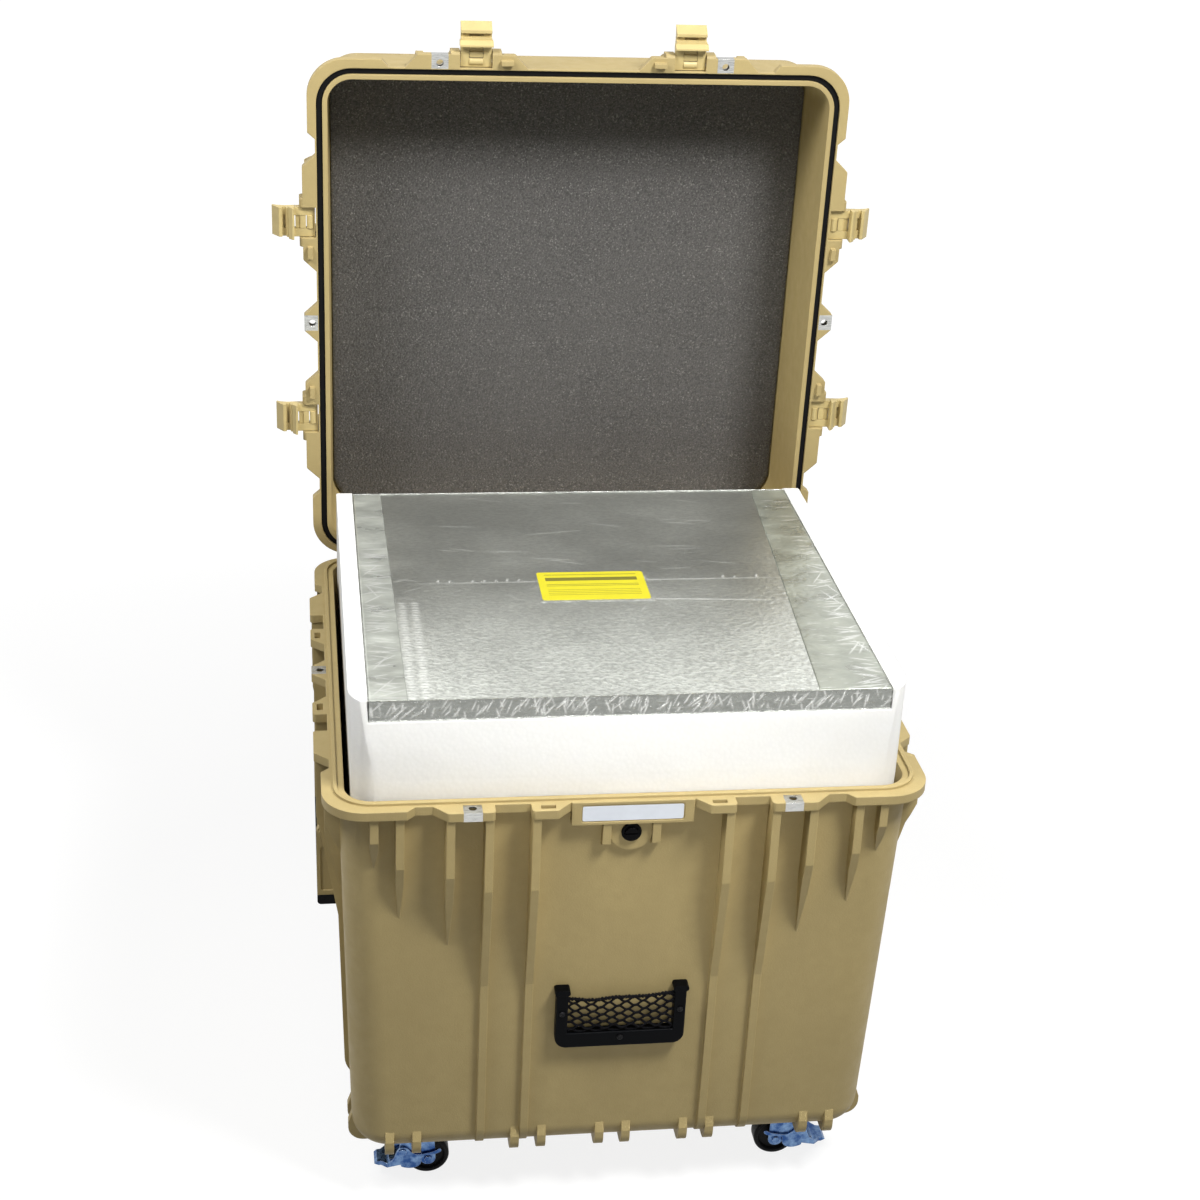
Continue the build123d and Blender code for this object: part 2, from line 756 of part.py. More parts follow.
# ---------------------------------------------------------------------------------------
# Pins of the hinge and the latches
# ---------------------------------------------------------------------------------------
with BuildPart() as hinge_pins:
    for side in (-1, 1):
        with BuildSketch(section(base_frame, BACK, side * hinge_at)):
            with Locations((hinge_y, -hinge_down)):
                Circle(hinge_pin / 2)
    extrude(amount=hinge_long / 2, both=True)
finish(hinge_pins, "hinge_pins")

with BuildPart() as latch_pins:
    for turn in LATCHED:
        for side in (-1, 1):
            with BuildSketch(section(lid_frame, turn, side * latch_at)):
                with Locations((latch_pin_n, latch_pin_z)):
                    Circle(latch_pin_radius)
    extrude(amount=recess_half + 7.5, both=True)
finish(latch_pins, "latch_pins")


# ---------------------------------------------------------------------------------------
# Latches: a lever with a hook bar and finger tab, and the trigger between its arms
# ---------------------------------------------------------------------------------------
def latch_frame(turn, at):
    """Pin-centred frame of an open latch: x along the arm, y away from the base, z along the pin."""
    across = section(lid_frame, turn, at)
    pin = across.from_local_coords((latch_pin_n, latch_pin_z, 0))
    return Plane(origin=pin, x_dir=across.x_dir, z_dir=across.z_dir)


hook_at = latch_pin_up + parting_gap + flange_thick + parting_gap   # pin to the hook's catching face
ledge = hook_at + hook_thick                                       # pin to the hook bar's far side
window = trigger_width + 0.8


def build_latch(turn, at, name):
    """One latch's lever and trigger, open."""
    frame = latch_frame(turn, at)
    with BuildPart() as lever:
        # side profile: arms, ledge beyond the hook bar, recess, lip and the finger tab's slope
        with BuildSketch(frame):
            with BuildLine():
                Polyline((-6, 3), (-6, -3), (hook_at, -4), (ledge, -6), (ledge + 2.4, -6))
                Polyline((ledge + 2.4, -6), (ledge + 2.8, -1.2), (ledge + 7.5, -1.2), (ledge + 7.9, -5.2))
                Polyline((ledge + 7.9, -5.2), (ledge + 11.6, -5.2), (latch_reach, 6), (latch_reach - 1, 9))
                Spline(
                    (latch_reach - 1, 9),
                    (latch_reach - 7, 5.6),
                    (ledge + 4, 4.6),
                    tangents=((-0.5, -1), (-1, 0)),
                )
                Polyline((ledge + 4, 4.6), (hook_at, 5.5), (0, 6), (-6, 3))
            make_face()
        extrude(amount=latch_width / 2, both=True)
        # raised barrel round the pin between the arms
        with BuildSketch(frame):
            Circle(latch_barrel)
        extrude(amount=trigger_width / 2, both=True)
        # hook bar that catches under the base's flange
        with BuildSketch(frame):
            Polygon(
                (hook_at, -1),
                (hook_at, -hook_deep),
                (hook_at + 2.2, -hook_deep),
                (hook_at + hook_thick, -hook_deep + 5),
                (hook_at + hook_thick, -1),
                align=None,
            )
        extrude(amount=latch_width / 2 + hook_extra, both=True)
        # window for the trigger, slot in the recess, pin bore and trigger sockets
        with BuildSketch(frame):
            with Locations((4, 0)):
                Rectangle(hook_at - 4.5, 60, align=(Align.MIN, Align.CENTER))
        extrude(amount=window / 2, both=True, mode=Mode.SUBTRACT)
        with BuildSketch(frame):
            with Locations((ledge + 5.2, -1.2)):
                Rectangle(2.6, 6)
        extrude(amount=window / 2, both=True, mode=Mode.SUBTRACT)
        with BuildSketch(frame):
            Circle(latch_pin_radius + running_clearance)
        extrude(amount=latch_width, both=True, mode=Mode.SUBTRACT)
        with BuildSketch(frame):
            with Locations((trigger_at, trigger_up)):
                Circle(1.5 + running_clearance)
        extrude(amount=window / 2 + 3.2, both=True, mode=Mode.SUBTRACT)
    finish(lever, f"latch_lever_{name}")

    with BuildPart() as trigger:
        with BuildSketch(frame):
            with BuildLine():
                Polyline((5, 4), (5, -3), (trigger_at + 1, -3.6), (trigger_at + 1.5, -2.4))
                Polyline((trigger_at + 1.5, -2.4), (hook_at - 1.6, -2.2), (hook_at - 1.6, 3), (trigger_at, 4))
                Line((trigger_at, 4), (5, 4))
            make_face()
        extrude(amount=trigger_width / 2, both=True)
        with BuildSketch(frame):
            with Locations((trigger_at, trigger_up)):
                Circle(1.5)
        extrude(amount=window / 2 + 3, both=True)
    finish(trigger, f"latch_trigger_{name}")


LATCHES = {
    "front_left": (FRONT, -latch_at),
    "front_right": (FRONT, latch_at),
    "right_front": (RIGHT, -latch_at),
    "right_back": (RIGHT, latch_at),
    "left_front": (LEFT, latch_at),
    "left_back": (LEFT, -latch_at),
}
for name, (turn, at) in LATCHES.items():
    build_latch(turn, at, name)


# ---------------------------------------------------------------------------------------
# Steel padlock plates: a channel clipped over each padlock boss, drilled through
# ---------------------------------------------------------------------------------------
def padlock_plates(frame, side):
    """The four drilled clips of one rim; side is -1 below the rim plane or 1 above it."""
    middle = side * flange_thick / 2
    with BuildPart() as plates:
        for turn, at in padlock_places():
            with BuildSketch(section(frame, turn, at)):
                with Locations((boss, middle)):
                    Rectangle(padlock_slot, flange_thick, align=(Align.MAX, Align.CENTER))
                with Locations((boss - plate_gauge, middle)):
                    Rectangle(
                        padlock_slot, flange_thick - 2 * plate_gauge, align=(Align.MAX, Align.CENTER),
                        mode=Mode.SUBTRACT,
                    )
        extrude(amount=padlock_plate / 2, both=True)
        for turn, at in padlock_places():
            with BuildSketch(turned(frame, turn)):
                with Locations((at, -(outer + padlock_hole_out))):
                    Circle(padlock_hole / 2)
        extrude(amount=2 * flange_thick, both=True, mode=Mode.SUBTRACT)
    return plates


base_padlock_plates = padlock_plates(base_frame, -1)
finish(base_padlock_plates, "base_padlock_plates")
lid_padlock_plates = padlock_plates(lid_rim, 1)
finish(lid_padlock_plates, "lid_padlock_plates")


# ---------------------------------------------------------------------------------------
# Front fittings: label, purge valve and net pocket
# ---------------------------------------------------------------------------------------
with BuildPart() as name_label:
    with BuildSketch(label_plane.offset(-label_recess)):
        RectangleRounded(label_wide, label_high, label_corner)
    extrude(amount=label_thick)
finish(name_label, "name_label")

valve_seat = valve_plane.offset(valve_boss_high)
with BuildPart() as purge_valve_body:
    with BuildSketch(valve_seat):
        Circle(valve_radius)
    extrude(amount=valve_collar)
    with BuildSketch(valve_seat):
        Circle(valve_stem)
    extrude(amount=-(valve_boss_high + wall - 1))
    fillet(purge_valve_body.faces().sort_by(Axis(valve_seat.origin, valve_seat.z_dir))[-1].edges(), 1)
    with BuildSketch(valve_seat.offset(valve_collar - knob_sunk)):
        Circle(knob_radius + knob_gap)
    extrude(amount=knob_sunk, mode=Mode.SUBTRACT)
    with BuildSketch(valve_seat.offset(valve_collar - knob_sunk)):
        Circle(knob_stub + running_clearance)
    extrude(amount=-knob_stub_long - knob_gap, mode=Mode.SUBTRACT)
finish(purge_valve_body, "purge_valve_body")

knob_plane = valve_seat.offset(valve_collar - knob_sunk + knob_gap)
with BuildPart() as purge_valve_knob:
    with BuildSketch(knob_plane):
        Circle(knob_radius)
    extrude(amount=knob_high)
    fillet(purge_valve_knob.faces().sort_by(Axis(knob_plane.origin, knob_plane.z_dir))[-1].edges(), 1)
    with BuildSketch(knob_plane.offset(1)):
        with PolarLocations(knob_radius + 0.9, 8):
            Circle(1.7)
        Rectangle(1.8 * knob_radius, 1.8)
    extrude(amount=knob_high, mode=Mode.SUBTRACT)
    with BuildSketch(knob_plane):
        Circle(knob_stub)
    extrude(amount=-knob_stub_long)
finish(purge_valve_knob, "purge_valve_knob")

with BuildPart() as pocket_frame:
    with BuildSketch(pocket_plane) as outline:
        Rectangle(pocket_wide, pocket_high)
        fillet(outline.vertices().group_by(Axis.Y)[0], pocket_corner)
        with Locations((0, pocket_sill)):
            Rectangle(pocket_wide - 2 * pocket_bar, pocket_high, mode=Mode.SUBTRACT)
    extrude(amount=pocket_deep)
    fillet(pocket_frame.faces().sort_by(Axis(pocket_plane.origin, pocket_plane.z_dir))[-1].edges(), 2)
    # rounded caps on the two posts
    for side in (-1, 1):
        with BuildSketch(pocket_plane):
            with Locations((side * (pocket_wide - pocket_bar) / 2, pocket_high / 2)):
                RectangleRounded(pocket_bar + 4, pocket_cap, 3)
    extrude(amount=pocket_deep + 1)
    with BuildSketch(pocket_plane):
        with Locations(*pocket_screw_places):
            Circle(screw_radius + running_clearance)
    extrude(amount=pocket_deep + 1, mode=Mode.SUBTRACT)
finish(pocket_frame, "pocket_frame")

with BuildPart() as pocket_net:
    with BuildSketch(pocket_plane.offset(net_off)):
        with Locations((0, -pocket_high / 2 + pocket_sill)):
            net_high = pocket_high - pocket_sill - net_drop
            Rectangle(pocket_wide - 2 * pocket_bar, net_high, align=(Align.CENTER, Align.MIN))
    extrude(amount=net_thick)
finish(pocket_net, "pocket_net")

with BuildPart() as pocket_screws:
    with BuildSketch(pocket_plane.offset(pocket_deep)):
        with Locations(*pocket_screw_places):
            Circle(2.2 * screw_radius)
    extrude(amount=screw_head)
    heads = pocket_screws.faces().sort_by(Axis(pocket_plane.origin, pocket_plane.z_dir))[-3:]
    chamfer([edge for head in heads for edge in head.edges()], screw_head / 3)
    with BuildSketch(pocket_plane.offset(pocket_deep)):
        with Locations(*pocket_screw_places):
            Circle(screw_radius)
    extrude(amount=-(pocket_deep + wall - 1))
finish(pocket_screws, "pocket_screws")


# ---------------------------------------------------------------------------------------
# Side handles: a moulded bail on two pins, with a rubber grip over its bar
# ---------------------------------------------------------------------------------------
def build_handle(turn, name):
    """One side's bail and grip, hanging."""
    face = section(base_frame, turn, 0)
    middle = (pivot_out, -handle_pivot_down)
    grip_top = -handle_pivot_down - handle_drop + grip_high
    bar_wide = handle_arm_wide / 2
    with BuildPart() as bail:
        for side in (-1, 1):
            with BuildSketch(section(base_frame, turn, side * (handle_span - handle_arm) / 2)):
                with Locations(middle):
                    Circle(handle_arm_wide / 2)
                Polygon(
                    (pivot_out - handle_arm_wide / 2, -handle_pivot_down),
                    (pivot_out + handle_arm_wide / 2, -handle_pivot_down),
                    (pivot_out + handle_arm_wide / 2, grip_top),
                    (pivot_out - handle_arm_wide / 2, grip_top),
                    align=None,
                )
        extrude(amount=handle_arm / 2, both=True)
        # each arm's boss round the pivot, and its tongue inside the grip
        for side in (-1, 1):
            with BuildSketch(section(base_frame, turn, side * handle_span / 2)):
                with Locations(middle):
                    Circle(handle_boss)
        extrude(amount=handle_boss_high, both=True)
        for side in (-1, 1):
            with BuildSketch(section(base_frame, turn, side * (handle_span - handle_arm) / 2)):
                with Locations((pivot_out, grip_top)):
                    Rectangle(bar_wide, (grip_high + grip_bar) / 2, align=(Align.CENTER, Align.MAX))
        extrude(amount=handle_arm / 2 - grip_end, both=True)
        # a shallow recess in each arm's outer face
        for side in (-1, 1):
            with BuildSketch(section(base_frame, turn, side * handle_span / 2)):
                with Locations((pivot_out, (grip_top - handle_pivot_down - handle_arm_wide / 2) / 2)):
                    RectangleRounded(handle_arm_wide - 9, handle_drop - grip_high - handle_arm_wide, 4)
        extrude(amount=1.6, both=True, mode=Mode.SUBTRACT)
        with BuildSketch(face):
            with Locations((pivot_out, grip_top - grip_high / 2)):
                Rectangle(bar_wide, grip_bar)
        extrude(amount=handle_span / 2 - grip_end, both=True)
        with BuildSketch(face):
            with Locations(middle):
                Circle(handle_pin / 2 + running_clearance)
        extrude(amount=handle_span, both=True, mode=Mode.SUBTRACT)
    finish(bail, f"handle_bail_{name}")

    with BuildPart() as grip:
        with BuildSketch(face):
            with Locations((pivot_out, grip_top - grip_high / 2)):
                RectangleRounded(handle_arm_wide, grip_high, grip_high / 3)
        extrude(amount=handle_span / 2, both=True)
        add(bail.part, mode=Mode.SUBTRACT)
    finish(grip, f"handle_grip_{name}")


build_handle(RIGHT, "right")
build_handle(LEFT, "left")

with BuildPart() as handle_pins:
    pin_in = bracket_at - bracket / 2
    pin_out = handle_span / 2 + handle_boss_high + bracket_gap
    for turn in (RIGHT, LEFT):
        for side in (-1, 1):
            with BuildSketch(section(base_frame, turn, side * pin_in)):
                with Locations((pivot_out, -handle_pivot_down)):
                    Circle(handle_pin / 2)
            extrude(amount=-side * (pin_out - pin_in))
            with BuildSketch(section(base_frame, turn, side * pin_out)):
                with Locations((pivot_out, -handle_pivot_down)):
                    Circle(handle_pin / 2 + 1.5)
            extrude(amount=-side * 1.6)
finish(handle_pins, "handle_pins")


# ---------------------------------------------------------------------------------------
# Insulation: foam liner with its collar, vacuum panels, coolant packs
# ---------------------------------------------------------------------------------------
foam_half = inner - collar_gap
foam_deep = base_depth - base_floor
foam_low_half = inner - foam_deep * slope - foam_gap
wall_top = panel_seat - seat_gap
lean = tan(radians(collar_lean))

with BuildPart() as foam_liner:
    low_corner = inner_corner + corner_grows + foam_gap / 2
    loft(box_ends(base_frame, foam_half, foam_corner, -foam_deep, foam_low_half, low_corner))
    fillet(foam_liner.faces().sort_by(Axis.Z)[0].edges(), base_edge - wall + foam_gap)
    with BuildSketch(base_frame):
        RectangleRounded(2 * foam_half, 2 * foam_half, foam_corner)
    extrude(amount=panel_top)
    # the front and back lean in, and stop at the lid panel's seat between the side walls
    for turn in (FRONT, BACK):
        with BuildSketch(section(base_frame, turn, 0)):
            Polygon(
                (foam_half, collar_up),
                (foam_half + 1, panel_top + 1),
                (foam_half - (panel_top + 1 - collar_up) * lean, panel_top + 1),
                align=None,
            )
    extrude(amount=inner, both=True, mode=Mode.SUBTRACT)
    # the side walls' back ends are rounded off
    with BuildSketch(section(base_frame, BACK, 0)):
        end = foam_half - (panel_top - collar_up) * lean
        with Locations((end - collar_round, panel_top - collar_round)):
            Rectangle(2 * collar_round, collar_round + 1, align=(Align.MIN, Align.MIN))
            Circle(collar_round, mode=Mode.SUBTRACT)
    extrude(amount=inner, both=True, mode=Mode.SUBTRACT)
    with BuildSketch(base_frame.offset(wall_top)):
        Rectangle(2 * cavity, 2 * inner)
    extrude(amount=panel_top, mode=Mode.SUBTRACT)
    with BuildSketch(base_frame.offset(foam_floor - foam_deep)):
        Rectangle(2 * cavity, 2 * cavity)
    extrude(amount=foam_deep + panel_top, mode=Mode.SUBTRACT)
finish(foam_liner, "foam_liner")


def packed_sides(outside, thick, low, high):
    """Four upright slabs that chase each other round a square well."""
    with BuildPart() as sides:
        for turn in (FRONT, RIGHT, BACK, LEFT):
            with BuildSketch(turned(base_frame.offset(low), turn)):
                with Locations((-outside + thick + panel_gap, -outside)):
                    Rectangle(2 * outside - thick - panel_gap, thick, align=(Align.MIN, Align.MIN))
        extrude(amount=high - low)
    return sides


def slab(half_x, half_y, thick, low, shift=0):
    """A flat slab whose underside is at a height from the rim, its centre shifted in y."""
    with BuildPart() as flat:
        with BuildSketch(base_frame.offset(low)):
            with Locations((0, shift)):
                Rectangle(2 * half_x, 2 * half_y)
        extrude(amount=thick)
    return flat


vip_half = cavity - panel_gap
vip_floor = foam_floor - foam_deep
vip_base = slab(vip_half, vip_half, panel, vip_floor)
finish(vip_base, "vip_base")
vip_sides = packed_sides(vip_half, panel, vip_floor + panel, wall_top)
finish(vip_sides, "vip_sides")
vip_lid = slab(vip_half, vip_half, panel, panel_seat, lid_panel_shift)
finish(vip_lid, "vip_lid")

coolant_half = vip_half - panel - coolant_gap
coolant_floor = vip_floor + panel
coolant_seat = panel_seat - coolant_gap - coolant
coolant_base = slab(coolant_half, coolant_half, coolant, coolant_floor)
finish(coolant_base, "coolant_base")
coolant_sides = packed_sides(coolant_half, coolant, coolant_floor + coolant, coolant_seat - seat_gap)
finish(coolant_sides, "coolant_sides")
coolant_top = slab(coolant_half, coolant_half, coolant, coolant_seat)
finish(coolant_top, "coolant_top")

with BuildPart() as notice_label:
    with BuildSketch(base_frame.offset(panel_top)):
        with Locations((notice_x, notice_y)):
            RectangleRounded(notice_wide, notice_long, 4)
    extrude(amount=notice_thick)
finish(notice_label, "notice_label")


# ---------------------------------------------------------------------------------------
# Casters: swivel plates bolted under the base, forks, wheels and brake pedals
# ---------------------------------------------------------------------------------------
with BuildPart() as caster_plates:
    for x, y, trail in CASTERS.values():
        with BuildSketch(caster_level(x, y, caster_height)):
            RectangleRounded(caster_plate_long, caster_plate_wide, 5)
            with Locations(*bolt_places):
                Circle(bolt_radius + 0.4, mode=Mode.SUBTRACT)
    extrude(amount=-plate_thick)
    for x, y, trail in CASTERS.values():
        with BuildSketch(caster_level(x, y, caster_height - plate_thick)):
            Circle(race_radius)
    extrude(amount=-(caster_height - plate_thick - crown_top - swivel_gap), taper=12)
    for x, y, trail in CASTERS.values():
        with BuildSketch(caster_level(x, y, caster_height - plate_thick)):
            Circle(kingpin)
    extrude(amount=-(caster_height - plate_thick - crown_low + swivel_gap + 2))
    for x, y, trail in CASTERS.values():
        with BuildSketch(caster_level(x, y, crown_low - swivel_gap)):
            Circle(kingpin + 3)
    extrude(amount=-3)
finish(caster_plates, "caster_plates")

with BuildPart() as caster_bolts:
    for x, y, trail in CASTERS.values():
        with BuildSketch(caster_level(x, y, caster_height - plate_thick)):
            with Locations(*bolt_places):
                RegularPolygon(2 * bolt_radius, 6)
    extrude(amount=-bolt_head)
    for x, y, trail in CASTERS.values():
        with BuildSketch(caster_level(x, y, caster_height - plate_thick)):
            with Locations(*bolt_places):
                Circle(bolt_radius)
    extrude(amount=plate_thick + base_floor - 1)
finish(caster_bolts, "caster_bolts")


def build_caster(name, x, y, trail):
    """One caster's fork, wheel, pins and brake pedal."""
    side = caster_side(x, y, trail)
    axle_place = (caster_trail, wheel_radius)
    with BuildPart() as fork:
        with BuildSketch(caster_level(x, y, crown_low)):
            Circle(race_radius + 1)
        extrude(amount=crown_top - crown_low, taper=8)
        with BuildSketch(side):
            Polygon(
                (-race_radius * 0.9, crown_low + 1),
                (-brake_out - 5, brake_up - 2),
                (-brake_out - 2, brake_up - 6),
                (-6, wheel_radius + 4),
                (caster_trail - 7, wheel_radius - 5),
                (caster_trail + 7, wheel_radius - 5),
                (caster_trail + 9, wheel_radius),
                (race_radius * 0.95, crown_low + 1),
                align=None,
            )
            with Locations(axle_place):
                Circle(9)
        extrude(amount=leg_out, both=True)
        # room for the wheel between the legs, under the crown
        with BuildSketch(side):
            with Locations((0, crown_low)):
                Rectangle(4 * race_radius, 3 * wheel_radius, align=(Align.CENTER, Align.MAX))
        extrude(amount=leg_in, both=True, mode=Mode.SUBTRACT)
        with BuildSketch(side):
            with Locations(axle_place):
                Circle(caster_axle / 2)
            with Locations((-brake_out, brake_up)):
                Circle(brake_pin)
        extrude(amount=leg_out + 1, both=True, mode=Mode.SUBTRACT)
        with BuildSketch(caster_level(x, y, crown_low - 1)):
            Circle(kingpin + running_clearance)
        extrude(amount=caster_height - crown_low, mode=Mode.SUBTRACT)
    finish(fork, f"caster_fork_{name}")

    with BuildPart() as wheel:
        half = caster_tread / 2
        with BuildSketch(Plane(side.from_local_coords((*axle_place, 0)), side.z_dir, side.x_dir)):
            with BuildLine():
                Polyline(
                    (-half - hub_out, caster_axle / 2 + running_clearance),
                    (-half - hub_out, hub_radius),
                    (-half + 5, hub_radius + 1),
                    (-half + 5, wheel_radius - 7),
                    (-half + 1, wheel_radius - 5),
                    (-half, wheel_radius - 3),
                )
                ThreePointArc(
                    (-half, wheel_radius - 3), (-half + 1.2, wheel_radius - 1), (-half + 3.5, wheel_radius)
                )
                Line((-half + 3.5, wheel_radius), (0, wheel_radius))
                Polyline(
                    (0, wheel_radius),
                    (0, caster_axle / 2 + running_clearance),
                    (-half - hub_out, caster_axle / 2 + running_clearance),
                )
            make_face()
            mirror(about=Plane.YZ)
        revolve(axis=Axis(side.from_local_coords((*axle_place, 0)), side.z_dir))
    finish(wheel, f"caster_wheel_{name}")

    with BuildPart() as pins:
        with BuildSketch(side):
            with Locations(axle_place):
                Circle(caster_axle / 2)
        extrude(amount=leg_out, both=True)
        with BuildSketch(side.offset(leg_out), side.offset(-leg_out - axle_head)):
            with Locations(axle_place):
                RegularPolygon(axle_head_radius, 6)
        extrude(amount=axle_head)
        with BuildSketch(side):
            with Locations((-brake_out, brake_up)):
                Circle(brake_pin)
        extrude(amount=arm_out + 0.4, both=True)
        with BuildSketch(side.offset(arm_out + 0.4), side.offset(-arm_out - 1.6)):
            with Locations((-brake_out, brake_up)):
                Circle(brake_pin + 1.5)
        extrude(amount=1.2)
    finish(pins, f"caster_pins_{name}")

    with BuildPart() as pedal:
        # stamped side arms: a hook over the pivot, a lobe and a finger over the axle
        with BuildSketch(side):
            with BuildLine():
                Polyline((-pedal_reach + 5, 15.5), (-pedal_reach, 18), (-pedal_reach + 3, 21), (-38, 22.5))
                Spline(
                    (-38, 22.5), (-29, 28), (-24, 40), (-brake_out, 44.5), (-11, 41), (-4, 34.5),
                    tangents=((1, 0.1), (1, -0.6)),
                )
                Spline((-4, 34.5), (10, 34.5), (24, 40), tangents=((1, -0.6), (1, 1)))
                ThreePointArc((24, 40), (27, 39.5), (27, 36.5))
                Spline((27, 36.5), (14, 32), (4, 29), tangents=((-1, -1), (-0.4, -1)))
                Spline((4, 29), (3.2, 20), (-4, 14.5), (-20, 17.5), (-38, 16), tangents=((0, -1), (-1, -0.2)))
                Line((-38, 16), (-pedal_reach + 5, 15.5))
            make_face()
        extrude(amount=arm_out, both=True)
        with BuildSketch(side):
            with Locations((0, 0)):
                Polygon((-33, -10), (60, -10), (60, 80), (-33, 80), align=None)
        extrude(amount=arm_in, both=True, mode=Mode.SUBTRACT)
        # the pad narrows toward its tip
        with BuildSketch(caster_level(x, y, 0)):
            for side_out in (-1, 1):
                Polygon(
                    (-trail * 36, side_out * (arm_out + 1)),
                    (-trail * 36, side_out * arm_out),
                    (-trail * 43, side_out * pad_half_wide),
                    (-trail * 60, side_out * pad_half_wide),
                    (-trail * 60, side_out * (arm_out + 1)),
                    align=None,
                )
        extrude(amount=caster_height, mode=Mode.SUBTRACT)
        # brake shoe, short of the tread
        with BuildSketch(side):
            Polygon((-34, 19), (caster_trail - wheel_radius - shoe_gap, 23), (-16, 27), (-34, 24), align=None)
        extrude(amount=leg_in - 1, both=True)
        with BuildSketch(side):
            with Locations((-brake_out, brake_up)):
                Circle(brake_pin + running_clearance)
        extrude(amount=arm_out + 1, both=True, mode=Mode.SUBTRACT)
    finish(pedal, f"caster_pedal_{name}")


for name, (x, y, trail) in CASTERS.items():
    build_caster(name, x, y, trail)
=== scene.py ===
from math import atan2, cos, pi, radians, sin

import bmesh
import bpy
import numpy as np
from bpy.props import FloatProperty, FloatVectorProperty, IntProperty, PointerProperty
from mathutils import Matrix, Vector


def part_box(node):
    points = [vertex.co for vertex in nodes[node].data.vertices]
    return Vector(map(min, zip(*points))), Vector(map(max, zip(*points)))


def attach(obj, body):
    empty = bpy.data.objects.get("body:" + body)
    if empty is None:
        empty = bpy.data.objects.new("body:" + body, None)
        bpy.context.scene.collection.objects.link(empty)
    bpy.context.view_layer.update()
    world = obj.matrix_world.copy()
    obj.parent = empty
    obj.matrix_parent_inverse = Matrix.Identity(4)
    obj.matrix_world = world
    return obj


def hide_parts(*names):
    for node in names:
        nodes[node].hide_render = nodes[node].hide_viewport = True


bl_info = {
    "name": "Specimen Transport Box",
    "version": (1, 0, 0),
    "blender": (4, 5, 0),
    "location": "3D Viewport > Sidebar > Transport Box",
    "description": "Finishes and soft pieces of a specimen transport box round its fixed CAD frame",
    "category": "Object",
}

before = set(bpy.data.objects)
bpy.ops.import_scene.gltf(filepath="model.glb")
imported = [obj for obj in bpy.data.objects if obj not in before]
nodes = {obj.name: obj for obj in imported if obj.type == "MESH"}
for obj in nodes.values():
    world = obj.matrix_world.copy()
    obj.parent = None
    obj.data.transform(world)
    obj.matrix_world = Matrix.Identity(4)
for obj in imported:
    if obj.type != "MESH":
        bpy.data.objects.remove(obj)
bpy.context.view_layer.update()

LATCHES = ("front_left", "front_right", "right_front", "right_back", "left_front", "left_back")
CASTERS = ("front_left", "front_right", "back_left", "back_right")
SIDES = ("left", "right")
MM = 0.001


def linear(colour):
    """An sRGB hex colour as the linear RGBA that shaders take."""
    parts = [int(colour[at : at + 2], 16) / 255 for at in (1, 3, 5)]
    return [p / 12.92 if p <= 0.04045 else ((p + 0.055) / 1.055) ** 2.4 for p in parts] + [1.0]


# ---- Settings ----


def colour_setting(name, description, default):
    """A colour setting, its default an sRGB hex colour."""
    return FloatVectorProperty(
        name=name, description=description, subtype="COLOR", default=linear(default),
        size=4, min=0, max=1,
    )


def length_setting(name, description, default, least):
    """A setting in metres."""
    return FloatProperty(
        name=name, description=description, subtype="DISTANCE", default=default, min=least
    )


def power_setting(name, description, default):
    """A lamp's power."""
    return FloatProperty(name=name, description=description, subtype="POWER", default=default, min=0)


class StageSettings(bpy.types.PropertyGroup):
    """Studio round the box."""

    floor_colour: colour_setting("Floor", "Colour of the studio floor", "#767675")
    floor_size: length_setting("Floor size", "Side of the square floor", 60.0, 5.0)
    key_power: power_setting("Key light", "Power of the soft light on the right", 74.0)
    fill_power: power_setting("Fill light", "Power of the weaker light opposite", 35.0)
    front_power: power_setting("Front light", "Power of the small light in front", 0.22)
    room_light: FloatProperty(
        name="Room light", description="Level of the light from all round", default=0.13, min=0, max=1
    )
    lens: FloatProperty(
        name="Lens", description="Focal length on a 36 mm sensor, in millimetres", default=63.87, min=10
    )


class CaseSettings(bpy.types.PropertyGroup):
    """Moulded case, latches and handles."""

    plastic: colour_setting("Case plastic", "Colour of the moulded shells", "#B09D6B")
    latch: colour_setting("Latch plastic", "Colour of the latches", "#C0AD76")
    rubber: colour_setting("Rubber", "Colour of the seal and grips", "#0E0E0F")
    edge_radius: FloatProperty(
        name="Edge", description="Radius left on moulded edges, in millimetres",
        default=1.5, min=0.1, max=3.0,
    )


class FoamSettings(bpy.types.PropertyGroup):
    """White liner and dark lid pad."""

    liner: colour_setting("Liner", "Colour of the moulded bead foam", "#F4F4F1")
    pad: colour_setting("Lid pad", "Colour of the open-cell foam", "#4A4846")
    liner_edge: length_setting("Liner edge", "Radius on the liner's edges", 0.006, 0.001)
    pad_voxel: length_setting("Pad voxel", "Mesh size of the lid pad", 0.005, 0.003)


class FoilSettings(bpy.types.PropertyGroup):
    """Wrapping of the vacuum panels."""

    foil: colour_setting("Foil", "Colour of the aluminised film", "#E4E7E0")
    pitch: length_setting("Foil mesh", "Mesh size of the lid panel's wrapping", 0.0016, 0.001)
    crinkle: FloatProperty(
        name="Crinkle", description="Depth of the film's fine crinkle", subtype="DISTANCE",
        default=0.00022, min=0, max=0.001, precision=5,
    )
    seed: IntProperty(name="Seed", description="Which creases the film gets", default=7, min=0)


class NetSettings(bpy.types.PropertyGroup):
    """Elastic net of the document pocket."""

    strand: length_setting("Strand", "Thickness of the net's cord", 0.0029, 0.0005)
    cell: length_setting("Cell", "Width of one mesh of the net", 0.0195, 0.005)
    rows: IntProperty(name="Rows", description="Strands from the sill to the hem", default=9, min=3)


